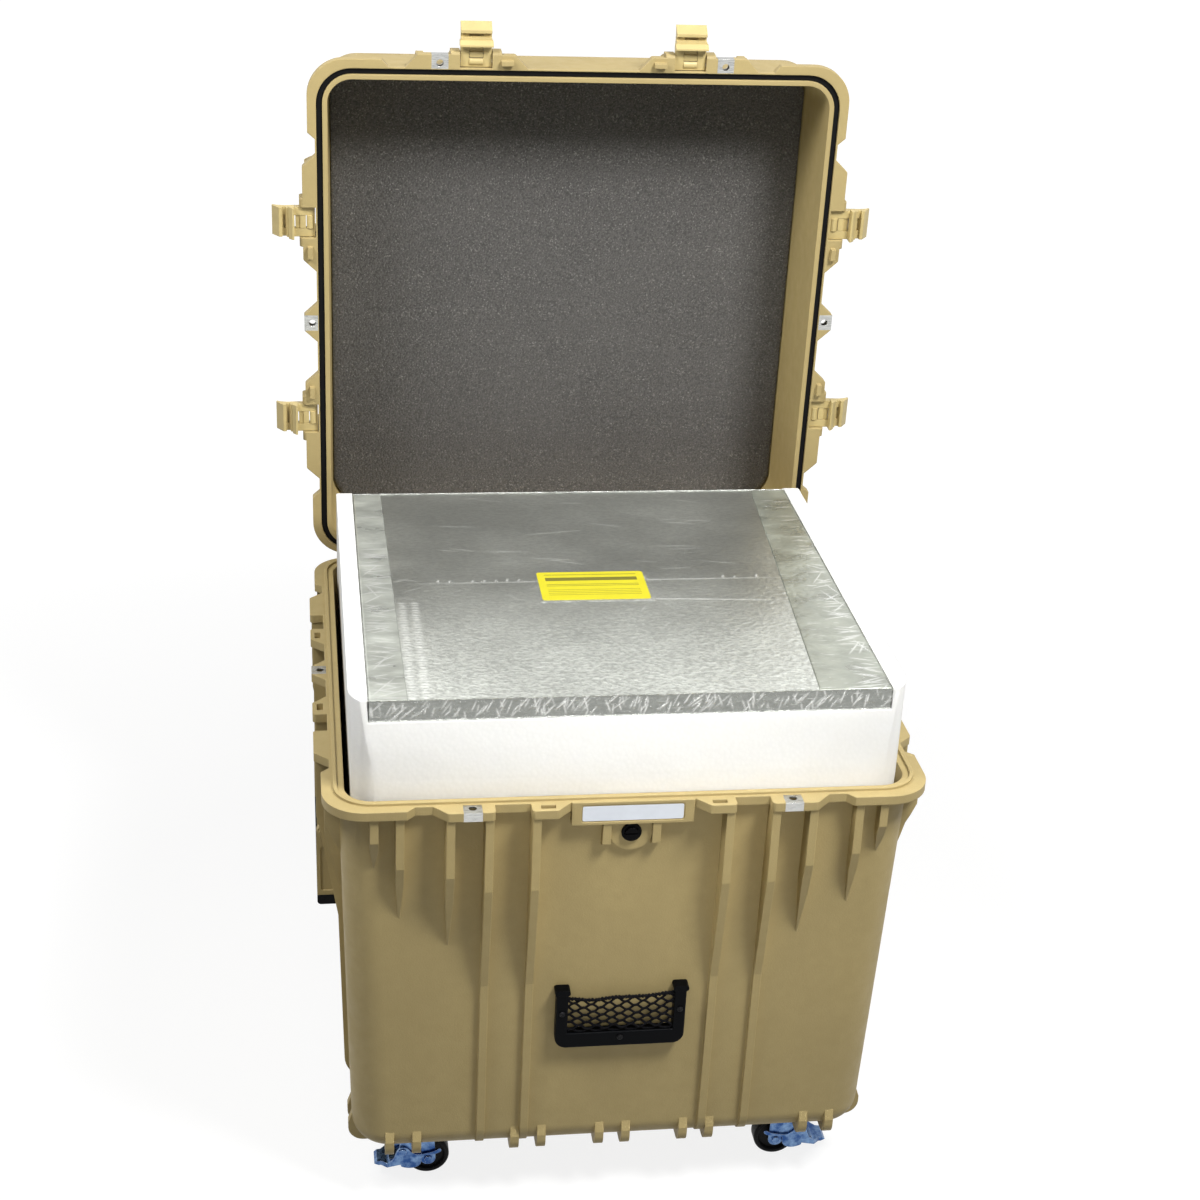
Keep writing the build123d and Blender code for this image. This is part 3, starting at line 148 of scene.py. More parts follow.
class BoxSettings(bpy.types.PropertyGroup):
    """All settings of the transport box."""

    stage: PointerProperty(type=StageSettings)
    case: PointerProperty(type=CaseSettings)
    foam: PointerProperty(type=FoamSettings)
    foil: PointerProperty(type=FoilSettings)
    net: PointerProperty(type=NetSettings)


# ---- Materials ----

# where the edge mask for the painted edge highlights starts, and where it is full
EDGE_HIGHLIGHT_STARTS, EDGE_HIGHLIGHT_FULL = 0.99, 0.8  # cosine between the rounded and the flat normal along an edge
BEAD_REACH = 0.9  # from a bead's middle to its joint, as a share of its size
RULE_SHARE = 0.86  # length of a label's ruled lines, as a share of its width


def add(material, kind, inputs=None, **settings):
    """Add a shader node of a kind; each input is a value, or the socket that feeds it."""
    node = material.node_tree.nodes.new("ShaderNode" + kind)
    for name, value in settings.items():
        setattr(node, name, value)
    for name, value in (inputs or {}).items():
        if isinstance(value, bpy.types.NodeSocket):
            material.node_tree.links.new(value, node.inputs[name])
        else:
            node.inputs[name].default_value = value
    return node


def shader_input(material, name):
    """Socket of a material's shader, by its name with _ for spaces."""
    return material.node_tree.nodes["Principled BSDF"].inputs[name.replace("_", " ")]


def finish_named(name, **sockets):
    """A material of one shader, with that shader's uniform sockets set."""
    material = bpy.data.materials.new(name)
    material.use_nodes = True
    for socket, value in sockets.items():
        shader_input(material, socket).default_value = value
    return material


def feed(material, **sockets):
    """Link patterns to sockets of the material's shader, and hand the material back."""
    for name, pattern in sockets.items():
        material.node_tree.links.new(pattern, shader_input(material, name))
    return material


def calculate(material, operation, *inputs):
    """Result of one operation on values or sockets."""
    return add(material, "Math", dict(enumerate(inputs)), operation=operation).outputs[0]


def level(material, amount, low, high, start=0.0, end=1.0, **settings):
    """amount from start to end brought to low to high, and held there beyond."""
    scaled = add(
        material, "MapRange",
        {"Value": amount, "From Min": start, "From Max": end, "To Min": low, "To Max": high}, **settings,
    )
    return scaled.outputs["Result"]


def place(material):
    """Place on the piece, in metres."""
    return add(material, "TexCoord").outputs["Object"]


def place_along(material, axis):
    """Place on the piece along one axis, in metres."""
    return add(material, "SeparateXYZ", {"Vector": place(material)}).outputs[axis]


def place_in(material, size, stretch=(1, 1, 1)):
    """Place on the piece, counted in features of a real size in millimetres."""
    scale = [1 / (size * MM * share) for share in stretch]
    return add(material, "Mapping", {"Vector": place(material), "Scale": scale}).outputs[0]


def cloud(material, size, low=0.3, high=0.7, stretch=(1, 1, 1), detail=3.0):
    """Soft random pattern from 0 to 1, its features of a real size in millimetres."""
    spot = place_in(material, size, stretch)
    noise = add(material, "TexNoise", {"Vector": spot, "Scale": 1.0, "Detail": detail})
    return level(material, noise.outputs["Fac"], 0.0, 1.0, low, high)


def beads(material, size):
    """Domes packed side by side, from 0 in the joints to 1 on top, of a real size in millimetres."""
    cells = add(material, "TexVoronoi", {"Vector": place_in(material, size), "Scale": 1.0})
    return level(material, cells.outputs["Distance"], 1.0, 0.0, 0.0, BEAD_REACH)


def between(material, amount, one, other):
    """Colour from one to other as amount goes from 0 to 1."""
    mixed = add(material, "Mix", {0: amount, 6: one, 7: other}, data_type="RGBA")
    return mixed.outputs[2]


def tinted(material, tone, pattern, share, colour):
    """tone with up to a share of another colour where a pattern is high."""
    return between(material, level(material, pattern, 0.0, share), tone, colour)


def shade(colour, factor):
    """The colour, lighter or darker by a factor."""
    return [min(part * factor, 1.0) for part in colour[:3]] + [1.0]


def varied(material, pattern, colour, low, high):
    """The colour by one factor where a pattern is low, and by another where it is high."""
    return between(material, pattern, shade(colour, low), shade(colour, high))


def relief(material, height, depth, under=None):
    """Surface normal of a height pattern of that depth in millimetres, on top of another normal."""
    inputs = {"Height": height, "Distance": depth * MM, "Strength": 1.0}
    if under is not None:
        inputs["Normal"] = under
    return add(material, "Bump", inputs).outputs["Normal"]


def surfaced(material, tone, normal, pattern, low, high):
    """Colour and normal of a finish, and its roughness from low to high over a pattern."""
    rough = level(material, pattern, low, high)
    return feed(material, Base_Color=tone, Roughness=rough, Normal=normal)


def creased(material):
    """The crease marks that are stored on a mesh, from 0 to 1."""
    return add(material, "Attribute", attribute_name="crease").outputs["Fac"]


def eased(material, radius):
    """Normal rounded over the edges, and a mask that is 1 along them, for a radius in millimetres."""
    rounded = add(material, "Bevel", {"Radius": radius * MM}, samples=4)
    flat = add(material, "NewGeometry")
    both = {0: rounded.outputs[0], 1: flat.outputs["Normal"]}
    alike = add(material, "VectorMath", both, operation="DOT_PRODUCT")
    mask = level(material, alike.outputs["Value"], 0.0, 1.0, EDGE_HIGHLIGHT_STARTS, EDGE_HIGHLIGHT_FULL)
    return rounded.outputs[0], mask


def moulded_case_plastic(settings):
    # Structural polypropylene, injected into a spark-eroded mould: a matt grain of 0.5 mm that
    # scatters light evenly, faint clouds where the melt flowed, and edges painted paler as a painted
    # highlight.
    material = finish_named("Moulded_polypropylene_spark_grain", IOR=1.49)
    base = settings.plastic
    edge_normal, edge = eased(material, settings.edge_radius)
    flow = cloud(material, 90.0, stretch=(1.0, 1.0, 2.6))
    patches = cloud(material, 14.0)
    fine = cloud(material, 1.6)  # the grain, drawn three times too coarse so that it shows
    tone = varied(material, flow, base, 0.93, 1.05)
    tone = tinted(material, tone, patches, 0.35, shade(base, 0.88))
    tone = tinted(material, tone, fine, 0.16, shade(base, 0.72))
    # edges painted paler: a painted highlight along them
    tone = tinted(material, tone, edge, 0.6, shade(base, 1.4))
    normal = relief(material, fine, 0.12, relief(material, patches, 0.10, edge_normal))
    return surfaced(material, tone, normal, patches, 0.50, 0.62)


def moulded_latch_plastic(settings):
    # Glass-filled nylon from a finer mould: smoother and yellower than the case, with a satin gloss.
    material = finish_named("Moulded_nylon_satin", IOR=1.53)
    base = settings.latch
    edge_normal, edge = eased(material, 0.6)
    flow = cloud(material, 18.0)
    fine = cloud(material, 1.2)
    tone = varied(material, flow, base, 0.95, 1.06)
    # edges painted paler: a painted highlight along them
    tone = tinted(material, tone, edge, 0.5, shade(base, 1.3))
    normal = relief(material, fine, 0.05, edge_normal)
    return surfaced(material, tone, normal, fine, 0.36, 0.48)


def extruded_rubber(name, colour, roughness, size, depth):
    # Carbon-black rubber: matt, a little dusty, with fine pores of a size and depth in millimetres.
    material = finish_named(name, IOR=1.52, Specular_IOR_Level=0.1)
    edge_normal, edge = eased(material, 0.6)
    dust = cloud(material, 22.0, 0.35, 0.75)
    pores = cloud(material, size, 0.35, 0.65)
    tone = tinted(material, colour, dust, 0.25, shade(colour, 2.6))
    # edges painted lighter: a painted highlight along them
    tone = tinted(material, tone, edge, 0.35, shade(colour, 3.2))
    normal = relief(material, pores, depth, edge_normal)
    return surfaced(material, tone, normal, pores, roughness - 0.06, roughness + 0.08)


def gloss_black_plastic(name, colour, roughness):
    # Black ABS or acetal: near-black with a soft gloss that shows scuffs, and edges painted lighter as a
    # painted highlight.
    material = finish_named(name, IOR=1.5, Specular_IOR_Level=0.05)
    edge_normal, edge = eased(material, 0.5)
    scuffs = cloud(material, 9.0, 0.4, 0.8, stretch=(3.0, 1.0, 1.0))
    grain = cloud(material, 1.4, 0.35, 0.65)
    # edges painted lighter: a painted highlight along them
    tone = tinted(material, colour, edge, 0.4, shade(colour, 3.0))
    normal = relief(material, grain, 0.03, edge_normal)
    return surfaced(material, tone, normal, scuffs, roughness - 0.04, roughness + 0.14)


def cut_open_cell_foam(settings):
    # Charcoal polyether foam, cut with a blade: open cells of 0.6 mm that glint and shade each
    # other, drawn at 2 to 3 mm so that the speckle shows.
    material = finish_named(
        "Polyether_foam_cut_charcoal", IOR=1.45, Roughness=0.93, Sheen_Weight=0.25, Sheen_Roughness=0.6
    )
    base = settings.pad
    cells = cloud(material, 2.6, 0.38, 0.62, detail=2.0)
    glints = cloud(material, 2.1, 0.60, 0.74, detail=1.0)
    drift = cloud(material, 120.0)
    tone = varied(material, cells, base, 0.62, 1.25)
    tone = tinted(material, tone, glints, 0.75, linear("#8C8985"))
    tone = tinted(material, tone, drift, 0.22, shade(base, 1.5))
    return feed(material, Base_Color=tone, Normal=relief(material, cells, 0.7))


def moulded_bead_foam(settings):
    # Expanded polypropylene, steam-moulded from 3 to 4 mm beads: matt white with shallow domes,
    # faint joints between the beads, and a skin a shade warmer in places.
    material = finish_named(
        "Expanded_polypropylene_bead_moulded", IOR=1.45, Roughness=0.72,
        Subsurface_Weight=0.08, Subsurface_Radius=(0.006, 0.006, 0.005), Subsurface_Scale=0.6,
    )
    base = settings.liner
    domes = beads(material, 4.5)
    skin = cloud(material, 40.0)
    tone = between(material, domes, shade(base, 0.97), base)
    tone = tinted(material, tone, skin, 0.3, linear("#F2F0EA"))
    normal = relief(material, domes, 0.09, relief(material, skin, 0.35, eased(material, 2.5)[0]))
    return feed(material, Base_Color=tone, Normal=normal)


def aluminised_film(name, base, rough, depth, patch, frosting):
    # Polyester film with a vapour-deposited aluminium skin, drawn tight over a fibre core by the
    # vacuum: bright metal broken up into small steep facets by the core's texture, in millimetres
    # of depth, with hazy patches of a size in millimetres. Toward the front, over the frosting's
    # two places along Y, it is crinkled most and scatters light as a frosted surface does.
    # Creases are drawn near-white and less metallic.
    material = finish_named(name)
    peel = cloud(material, 3.4, 0.4, 0.6, stretch=(1.4, 1.0, 1.0), detail=6.0)
    fibres = cloud(material, 2.6, 0.35, 0.65, stretch=(2.4, 1.0, 1.0), detail=4.0)
    haze = cloud(material, patch, 0.3, 0.75)
    scratches = cloud(material, 2.0, 0.66, 0.74, stretch=(9.0, 1.0, 1.0), detail=1.0)
    back = place_along(material, "Y")
    frost = level(material, back, 1.0, 0.0, *frosting, interpolation_type="SMOOTHSTEP")
    crease = creased(material)
    tone = varied(material, haze, base, 0.92, 1.06)
    tone = tinted(material, tone, fibres, 0.3, shade(base, 0.55))
    # dark specks on the crinkle's peaks, more toward the front: painted shade of its facets
    grain = calculate(material, "MULTIPLY", peel, level(material, frost, 0.1, 0.62))
    tone = between(material, grain, tone, shade(base, 0.5))
    tone = tinted(material, tone, scratches, 0.35, linear("#EDEFEA"))
    tone = between(material, crease, tone, linear("#F6F7F3"))
    steep = calculate(material, "MULTIPLY", peel, level(material, frost, 0.35, 1.0))
    metal = calculate(
        material, "MULTIPLY", level(material, frost, 0.9, 0.5), level(material, crease, 1.0, 0.4)
    )
    rough = level(material, haze, rough - 0.04, rough + 0.05)
    normal = relief(material, steep, depth)
    return feed(material, Base_Color=tone, Metallic=metal, Roughness=rough, Normal=normal)


def clear_tape_on_film(name, base):
    # Clear polypropylene packing tape laid over the film: the metal shows through paler and
    # greener, under a smooth glossy skin whose wrinkles and torn bubbles are white.
    material = finish_named(name, Metallic=0.5, Coat_Weight=0.5, Coat_Roughness=0.12, Coat_IOR=1.5)
    haze = cloud(material, 30.0, 0.35, 0.7, stretch=(1.6, 1.0, 1.0))
    wrinkles = cloud(material, 3.4, stretch=(5.0, 1.0, 1.0))
    streaks = cloud(material, 3.6, 0.62, 0.72, stretch=(6.0, 1.0, 1.0))
    tone = varied(material, haze, base, 0.74, 1.14)
    tone = tinted(material, tone, streaks, 0.5, linear("#F2F5F0"))
    tone = between(material, creased(material), tone, linear("#FAFBF8"))
    normal = relief(material, wrinkles, 0.09)
    return surfaced(material, tone, normal, haze, 0.26, 0.42)


def blow_moulded_bottle():
    # Natural high-density polyethylene filled with frozen coolant: milky, waxy, faintly blue.
    material = finish_named(
        "Polyethylene_bottle_blow_moulded", IOR=1.54,
        Subsurface_Weight=0.2, Subsurface_Radius=(0.004, 0.006, 0.008),
    )
    base = linear("#C9D6DD")
    edge_normal = eased(material, 2.0)[0]
    haze = cloud(material, 45.0)
    fine = cloud(material, 1.8, 0.35, 0.65)
    tone = varied(material, haze, base, 0.9, 1.06)
    normal = relief(material, fine, 0.05, relief(material, haze, 0.8, edge_normal))
    return surfaced(material, tone, normal, fine, 0.34, 0.46)


def brushed_stainless():
    # Stainless steel strip, punched and brushed along its length: fine scratches 0.1 mm wide,
    # drawn at 0.8 mm, and a painted highlight along the edges.
    material = finish_named("Stainless_steel_brushed", Metallic=1.0)
    edge_normal, edge = eased(material, 0.4)
    scratches = cloud(material, 0.8, stretch=(12.0, 1.0, 1.0))
    tone = between(material, scratches, linear("#A9AAA8"), linear("#D0D0CC"))
    # edges painted lighter: a painted highlight along them
    tone = tinted(material, tone, edge, 0.6, linear("#D8D8D5"))
    normal = relief(material, scratches, 0.03, edge_normal)
    return surfaced(material, tone, normal, scratches, 0.22, 0.4)


def blackened_steel():
    # Small steel screws, black oxide finish: dark grey metal, with a painted highlight on the edges.
    material = finish_named("Steel_black_oxide", Metallic=1.0)
    edge_normal, edge = eased(material, 0.3)
    stain = cloud(material, 2.0, 0.35, 0.65)
    tone = between(material, stain, linear("#161617"), linear("#2A2A2B"))
    # edges painted lighter: a painted highlight along them
    tone = tinted(material, tone, edge, 0.7, linear("#5A5958"))
    return surfaced(material, tone, edge_normal, stain, 0.28, 0.5)


def zinc_plated_steel():
    # Pressed steel, bright zinc plate with a clear blue passivate: bluish silver, slightly
    # cloudy, with a painted highlight on the rolled edges.
    material = finish_named("Steel_zinc_plated_blue", Metallic=1.0)
    edge_normal, edge = eased(material, 0.6)
    bloom = cloud(material, 9.0, 0.35, 0.7)
    spangle = cloud(material, 2.2, 0.35, 0.65)
    tone = between(material, bloom, linear("#2F4D80"), linear("#7D9BC0"))
    tone = tinted(material, tone, spangle, 0.3, linear("#243F70"))
    # edges painted lighter: a painted highlight along them
    tone = tinted(material, tone, edge, 0.6, linear("#DCE3E8"))
    normal = relief(material, spangle, 0.05, edge_normal)
    return surfaced(material, tone, normal, bloom, 0.2, 0.38)


def knotted_nylon():
    # Black braided elastic cord: matt, fuzzy, its braid a 1 mm chevron along the strand.
    material = finish_named(
        "Nylon_elastic_cord_braided", IOR=1.53, Roughness=0.8, Specular_IOR_Level=0.06
    )
    braid = cloud(material, 1.1, 0.35, 0.65)
    tone = between(material, braid, linear("#050506"), linear("#17171A"))
    return feed(material, Base_Color=tone, Normal=relief(material, braid, 0.25))


def printed_vinyl(name, ground, rules=(), ink=None, bounds=None):
    # Self-adhesive vinyl with a clear gloss film: flat, faintly rippled where it was rolled on.
    # rules are ruled lines across the label's bounds: each its place up the label, as a share, and
    # its width in millimetres.
    material = finish_named(name, IOR=1.47, Roughness=0.3)
    ripple = cloud(material, 16.0)
    tone = varied(material, ripple, ground, 0.97, 1.03)
    if rules:
        low, high = bounds
        across = calculate(material, "SUBTRACT", place_along(material, "X"), (low.x + high.x) / 2)
        reach = RULE_SHARE / 2 * (high.x - low.x)
        inside = calculate(material, "LESS_THAN", calculate(material, "ABSOLUTE", across), reach)
        along = place_along(material, "Y")
        for share, width in rules:
            at = low.y + share * (high.y - low.y)
            line = calculate(material, "COMPARE", along, at, width * MM / 2)
            tone = tinted(material, tone, calculate(material, "MULTIPLY", line, inside), 0.85, ink)
    return feed(material, Base_Color=tone, Normal=relief(material, ripple, 0.06))


def dress(material, *names):
    """Put a finish on CAD nodes or new pieces."""
    for name in names:
        piece = bpy.data.objects[name]
        if not piece.material_slots:
            piece.data.materials.append(material)
        for held in piece.material_slots:
            held.material = material


# ---- Shapes ----

WELD = 0.02 * MM  # points nearer than this are one
FLAT_WITHIN = radians(1.5)  # facets of one flat or slightly curved face
SHARP_ROUNDED = radians(28)  # edges sharper than this are rounded
SHARP_SHADED = radians(35)  # and, where still as sharp as this, shaded as edges
SEAM_DEPTH = 0.0004  # how far two wrapped faces are sunk where they meet, in metres


def linked(name, data):
    """An object of the data, put in the scene."""
    thing = bpy.data.objects.new(name, data)
    bpy.context.scene.collection.objects.link(thing)
    return thing


def new_piece(name, points, faces):
    """A smooth mesh object of the given points and faces."""
    mesh = bpy.data.meshes.new(name)
    mesh.from_pydata([tuple(p) for p in points], [], faces)
    mesh.update()
    mesh.shade_smooth()
    return linked(name, mesh)


def place_on(piece, body, finish):
    """Ride, finish and slot of a new piece, in one go."""
    dress(finish, piece.name)
    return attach(piece, body)


def traced(node, name):
    """A new object with a CAD node's shape, its flat faces made whole again."""
    mesh = nodes[node].data.copy()
    mesh.name = name
    for layer in ("custom_normal", "sharp_face", "sharp_edge"):
        if layer in mesh.attributes:
            mesh.attributes.remove(mesh.attributes[layer])
    mesh.materials.clear()
    shape = bmesh.new()
    shape.from_mesh(mesh)
    bmesh.ops.remove_doubles(shape, verts=shape.verts, dist=WELD)
    bmesh.ops.dissolve_limit(shape, angle_limit=FLAT_WITHIN, verts=shape.verts, edges=shape.edges)
    shape.to_mesh(mesh)
    shape.free()
    return linked(name, mesh)


def shaped_by(piece, kind, **settings):
    """Apply one modifier to a piece for good."""
    modifier = piece.modifiers.new(kind.title(), kind)
    for name, value in settings.items():
        setattr(modifier, name, value)
    bpy.context.view_layer.update()
    evaluated = piece.evaluated_get(bpy.context.evaluated_depsgraph_get())
    made = bpy.data.meshes.new_from_object(evaluated)
    piece.modifiers.clear()
    old, piece.data = piece.data, made
    bpy.data.meshes.remove(old)
    made.name = piece.name


def rounded_copy(node, name, radius):
    """A CAD node's shape with its sharp edges rounded to a radius in metres."""
    piece = traced(node, name)
    shaped_by(
        piece, "BEVEL", width=radius, segments=3, limit_method="ANGLE", angle_limit=SHARP_ROUNDED,
        use_clamp_overlap=True,
    )
    piece.data.shade_smooth()
    piece.data.set_sharp_from_angle(angle=SHARP_SHADED)
    return piece


def stand_in(node, name, radius, body, finish):
    """A rounded copy with a finish that takes a CAD node's place."""
    piece = rounded_copy(node, name, radius)
    place_on(piece, body, finish)
    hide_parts(node)
    return piece


def vectors(items, name):
    """One vector of each of a mesh's items, as rows of an array."""
    values = np.empty(len(items) * 3)
    items.foreach_get(name, values)
    return values.reshape(-1, 3)


def swell(across, up, size, seed, count=28):
    """Random waves of about a size in metres, from -1 to 1, at arrays of places on a face."""
    draw = np.random.default_rng(seed)
    total = np.zeros_like(across)
    for _ in range(count):
        heading = draw.uniform(0, 2 * pi)
        turns = 2 * pi / (size * draw.uniform(0.7, 1.5))
        total += np.cos(turns * (cos(heading) * across + sin(heading) * up) + draw.uniform(0, 2 * pi))
    return np.clip(total / (count / 2) ** 0.5 / 2, -1, 1)


def ridge(across, up, start, end, width):
    """Height from 0 to 1 of a straight crease between two points of a face."""
    (x0, y0), (x1, y1) = start, end
    square = max((x1 - x0) ** 2 + (y1 - y0) ** 2, 1e-12)
    along = np.clip(((across - x0) * (x1 - x0) + (up - y0) * (y1 - y0)) / square, 0, 1)
    off = np.hypot(across - x0 - along * (x1 - x0), up - y0 - along * (y1 - y0))
    fade = np.sin(pi * np.clip(along, 0.02, 0.98)) ** 0.5
    return np.clip(1 - off / width, 0, 1) * fade


def creases(draw, *groups):
    """Random straight creases on a face, each as its two ends.

    A group is their number and the ranges of where they start, across and up, of their lengths
    and of their leans.
    """
    made = []
    for count, xs, ys, lengths, leans in groups:
        for _ in range(count):
            x, y = draw.uniform(*xs), draw.uniform(*ys)
            reach, lean = draw.uniform(*lengths), draw.uniform(*leans)
            made.append(((x, y), (x + reach * cos(lean), y + reach * sin(lean))))
    return made


def crease_marks(across, up, *sets):
    """Marks of straight creases on a face; a set is its lines, their width and their mark."""
    marks = np.zeros_like(across)
    for lines, width, mark in sets:
        for start, end in lines:
            marks = np.maximum(marks, mark * ridge(across, up, start, end, width))
    return marks


def sunk_face(start, right, up, inward, pitch, depth):
    """Points, faces and crease marks of a flat face.

    depth(across, up) gives how far each point is sunk inward, in metres, and its crease from 0 to 1.
    """
    wide, high = right.length, up.length
    columns, rows = max(round(wide / pitch), 1), max(round(high / pitch), 1)
    across, along = np.meshgrid(np.linspace(0, wide, columns + 1), np.linspace(0, high, rows + 1))
    sunk, crease = depth(across, along)
    edge = np.minimum.reduce([across, wide - across, along, high - along])
    sunk = np.where(edge < 1e-6, SEAM_DEPTH, sunk)
    points = (
        np.array(start)
        + across[..., None] * np.array(right / wide)
        + along[..., None] * np.array(up / high)
        + sunk[..., None] * np.array(inward)
    ).reshape(-1, 3)
    faces = []
    for row in range(rows):
        for column in range(columns):
            at = row * (columns + 1) + column
            faces.append((at, at + 1, at + columns + 2, at + columns + 1))
    return points, faces, crease.reshape(-1)


def store_crease(piece, marks):
    """Keep crease marks on a piece's points for its material."""
    layer = piece.data.attributes.new("crease", "FLOAT", "POINT")
    layer.data.foreach_set("value", np.ascontiguousarray(marks, dtype=np.float32))


def tube(points, radii, sides=6):
    """Points and faces of a closed tube along a path, with a radius for each of its points."""
    rings, faces = [], []
    for at, point in enumerate(points):
        ahead = points[min(at + 1, len(points) - 1)] - points[max(at - 1, 0)]
        side = ahead.cross(Vector((0, 1, 0))).normalized()
        out = side.cross(ahead).normalized()
        for step in range(sides):
            angle = 2 * pi * step / sides
            rings.append(point + radii[at] * (cos(angle) * side + sin(angle) * out))
    for at in range(len(points) - 1):
        for step in range(sides):
            here, after = at * sides + step, at * sides + (step + 1) % sides
            faces.append((here, after, after + sides, here + sides))
    faces.append(tuple(reversed(range(sides))))
    faces.append(tuple(range((len(points) - 1) * sides, len(points) * sides)))
    return rings, faces


def gather(parts):
    """Several lists of points and faces as one."""
    points, faces = [], []
    for some_points, some_faces, *_ in parts:
        first = len(points)
        points.extend(some_points)
        faces.extend(tuple(first + at for at in face) for face in some_faces)
    return points, faces


# ---- Operators ----

CAMERA_PLACE = (-0.3449, -2.3162, 1.7048)
CAMERA_HEADING, CAMERA_DIP, CAMERA_ROLL = -8.80, 25.21, 2.69  # degrees
SENSOR = 36  # the sensor's width that the lens setting is for, in millimetres
FLOOR_GLOW = (0.85, 1.0)  # light that the floor gives off, near the box and far from it
FLOOR_GLOW_OVER = (0.7, 2.4)  # distances between which it rises, in metres


class BOX_OT_stage(bpy.types.Operator):
    """Floor, room light, lamps and camera"""

    bl_idname = "transport_box.stage"
    bl_label = "Stage"

    def execute(self, context):
        settings = context.scene.transport_box.stage
        half = settings.floor_size / 2
        corners = [(-half, -half, 0), (half, -half, 0), (half, half, 0), (-half, half, 0)]
        floor = new_piece("studio_floor", corners, [(0, 1, 2, 3)])

        # Painted board: matt and pale. It gives off a little light of its own to the camera and to
        # mirror and clear surfaces, so it looks white, and keeps the shadow under the box.
        board = finish_named(
            "Painted_board_matt", Roughness=0.9, Specular_IOR_Level=0.1, Emission_Color=(1, 1, 1, 1)
        )
        pale = settings.floor_colour
        tone = between(board, cloud(board, 30.0, 0.35, 0.65), shade(pale, 0.99), pale)
        away = add(board, "VectorMath", {0: place(board)}, operation="LENGTH")
        glow = level(board, away.outputs["Value"], *FLOOR_GLOW, *FLOOR_GLOW_OVER)
        glow = calculate(board, "MULTIPLY", seen_directly(board), glow)
        feed(board, Base_Color=tone, Emission_Strength=glow)
        dress(board, floor.name)

        world = bpy.data.worlds.new("studio_room")
        world.use_nodes = True
        context.scene.world = world
        room = world.node_tree.nodes["Background"]
        room.inputs["Color"].default_value = (1, 1, 1, 1)
        strength = level(world, seen_directly(world), settings.room_light, 1.0)
        world.node_tree.links.new(strength, room.inputs["Strength"])

        lamp("key_light", (0.95, -1.25, 2.65), (0.0, -0.1, 0.65), 0.6, settings.key_power)
        lamp(
            "front_light", (-0.1, -2.6, 1.5), (0.05, -0.4, 0.5), 0.4, settings.front_power,
            spread=radians(18),
        )
        lamp("fill_light", (-1.2, -0.65, 2.35), (0.1, 0.0, 0.8), 0.8, settings.fill_power)

        eye = bpy.data.cameras.new("camera")
        eye.sensor_width = SENSOR
        eye.lens = settings.lens
        eye.clip_end = 200
        camera = linked("camera", eye)
        turn = Matrix.Rotation(radians(CAMERA_HEADING), 4, "Z")
        turn = turn @ Matrix.Rotation(radians(90 - CAMERA_DIP), 4, "X")
        roll = Matrix.Rotation(radians(CAMERA_ROLL), 4, "Z")
        camera.matrix_world = Matrix.Translation(CAMERA_PLACE) @ turn @ roll
        context.scene.camera = camera
        context.scene.view_settings.view_transform = "Standard"
        return {"FINISHED"}


def seen_directly(material):
    """1 for what the camera sees, straight, mirrored or through clear material, and 0 for light."""
    path = add(material, "LightPath").outputs
    mirrored = calculate(material, "MAXIMUM", path["Is Glossy Ray"], path["Is Transmission Ray"])
    return calculate(material, "MAXIMUM", path["Is Camera Ray"], mirrored)


def lamp(name, stand, aim, size, power, spread=pi):
    """A square soft light on its stand, aimed at a point, with the angle that it spreads over."""
    light = bpy.data.lights.new(name, "AREA")
    light.energy = power
    light.size = size
    light.spread = spread
    holder = linked(name, light)
    holder.location = stand
    holder.rotation_euler = (Vector(aim) - Vector(stand)).to_track_quat("-Z", "Y").to_euler()


class BOX_OT_case(bpy.types.Operator):
    """Shells, their seal, hinge pins and padlock plates"""

    bl_idname = "transport_box.case"
    bl_label = "Case"

    def execute(self, context):
        settings = context.scene.transport_box.case
        dress(moulded_case_plastic(settings), "base_shell", "lid_shell")
        dress(extruded_rubber("Rubber_cord_extruded", settings.rubber, 0.55, 1.4, 0.08), "lid_gasket")
        dress(
            brushed_stainless(),
            "base_padlock_plates", "lid_padlock_plates", "hinge_pins", "latch_pins", "handle_pins",
        )
        return {"FINISHED"}


class BOX_OT_latches(bpy.types.Operator):
    """Six latch levers and their triggers"""

    bl_idname = "transport_box.latches"
    bl_label = "Latches"

    def execute(self, context):
        plastic = moulded_latch_plastic(context.scene.transport_box.case)
        dress(plastic, *[f"latch_{part}_{at}" for part in ("lever", "trigger") for at in LATCHES])
        return {"FINISHED"}


class BOX_OT_handles(bpy.types.Operator):
    """Side handles with their rubber grips"""

    bl_idname = "transport_box.handles"
    bl_label = "Handles"

    def execute(self, context):
        settings = context.scene.transport_box.case
        plastic = bpy.data.materials["Moulded_polypropylene_spark_grain"]
        dress(plastic, *[f"handle_bail_{side}" for side in SIDES])
        grip = extruded_rubber("Rubber_grip_overmoulded", settings.rubber, 0.62, 2.2, 0.18)
        dress(grip, *[f"handle_grip_{side}" for side in SIDES])
        return {"FINISHED"}


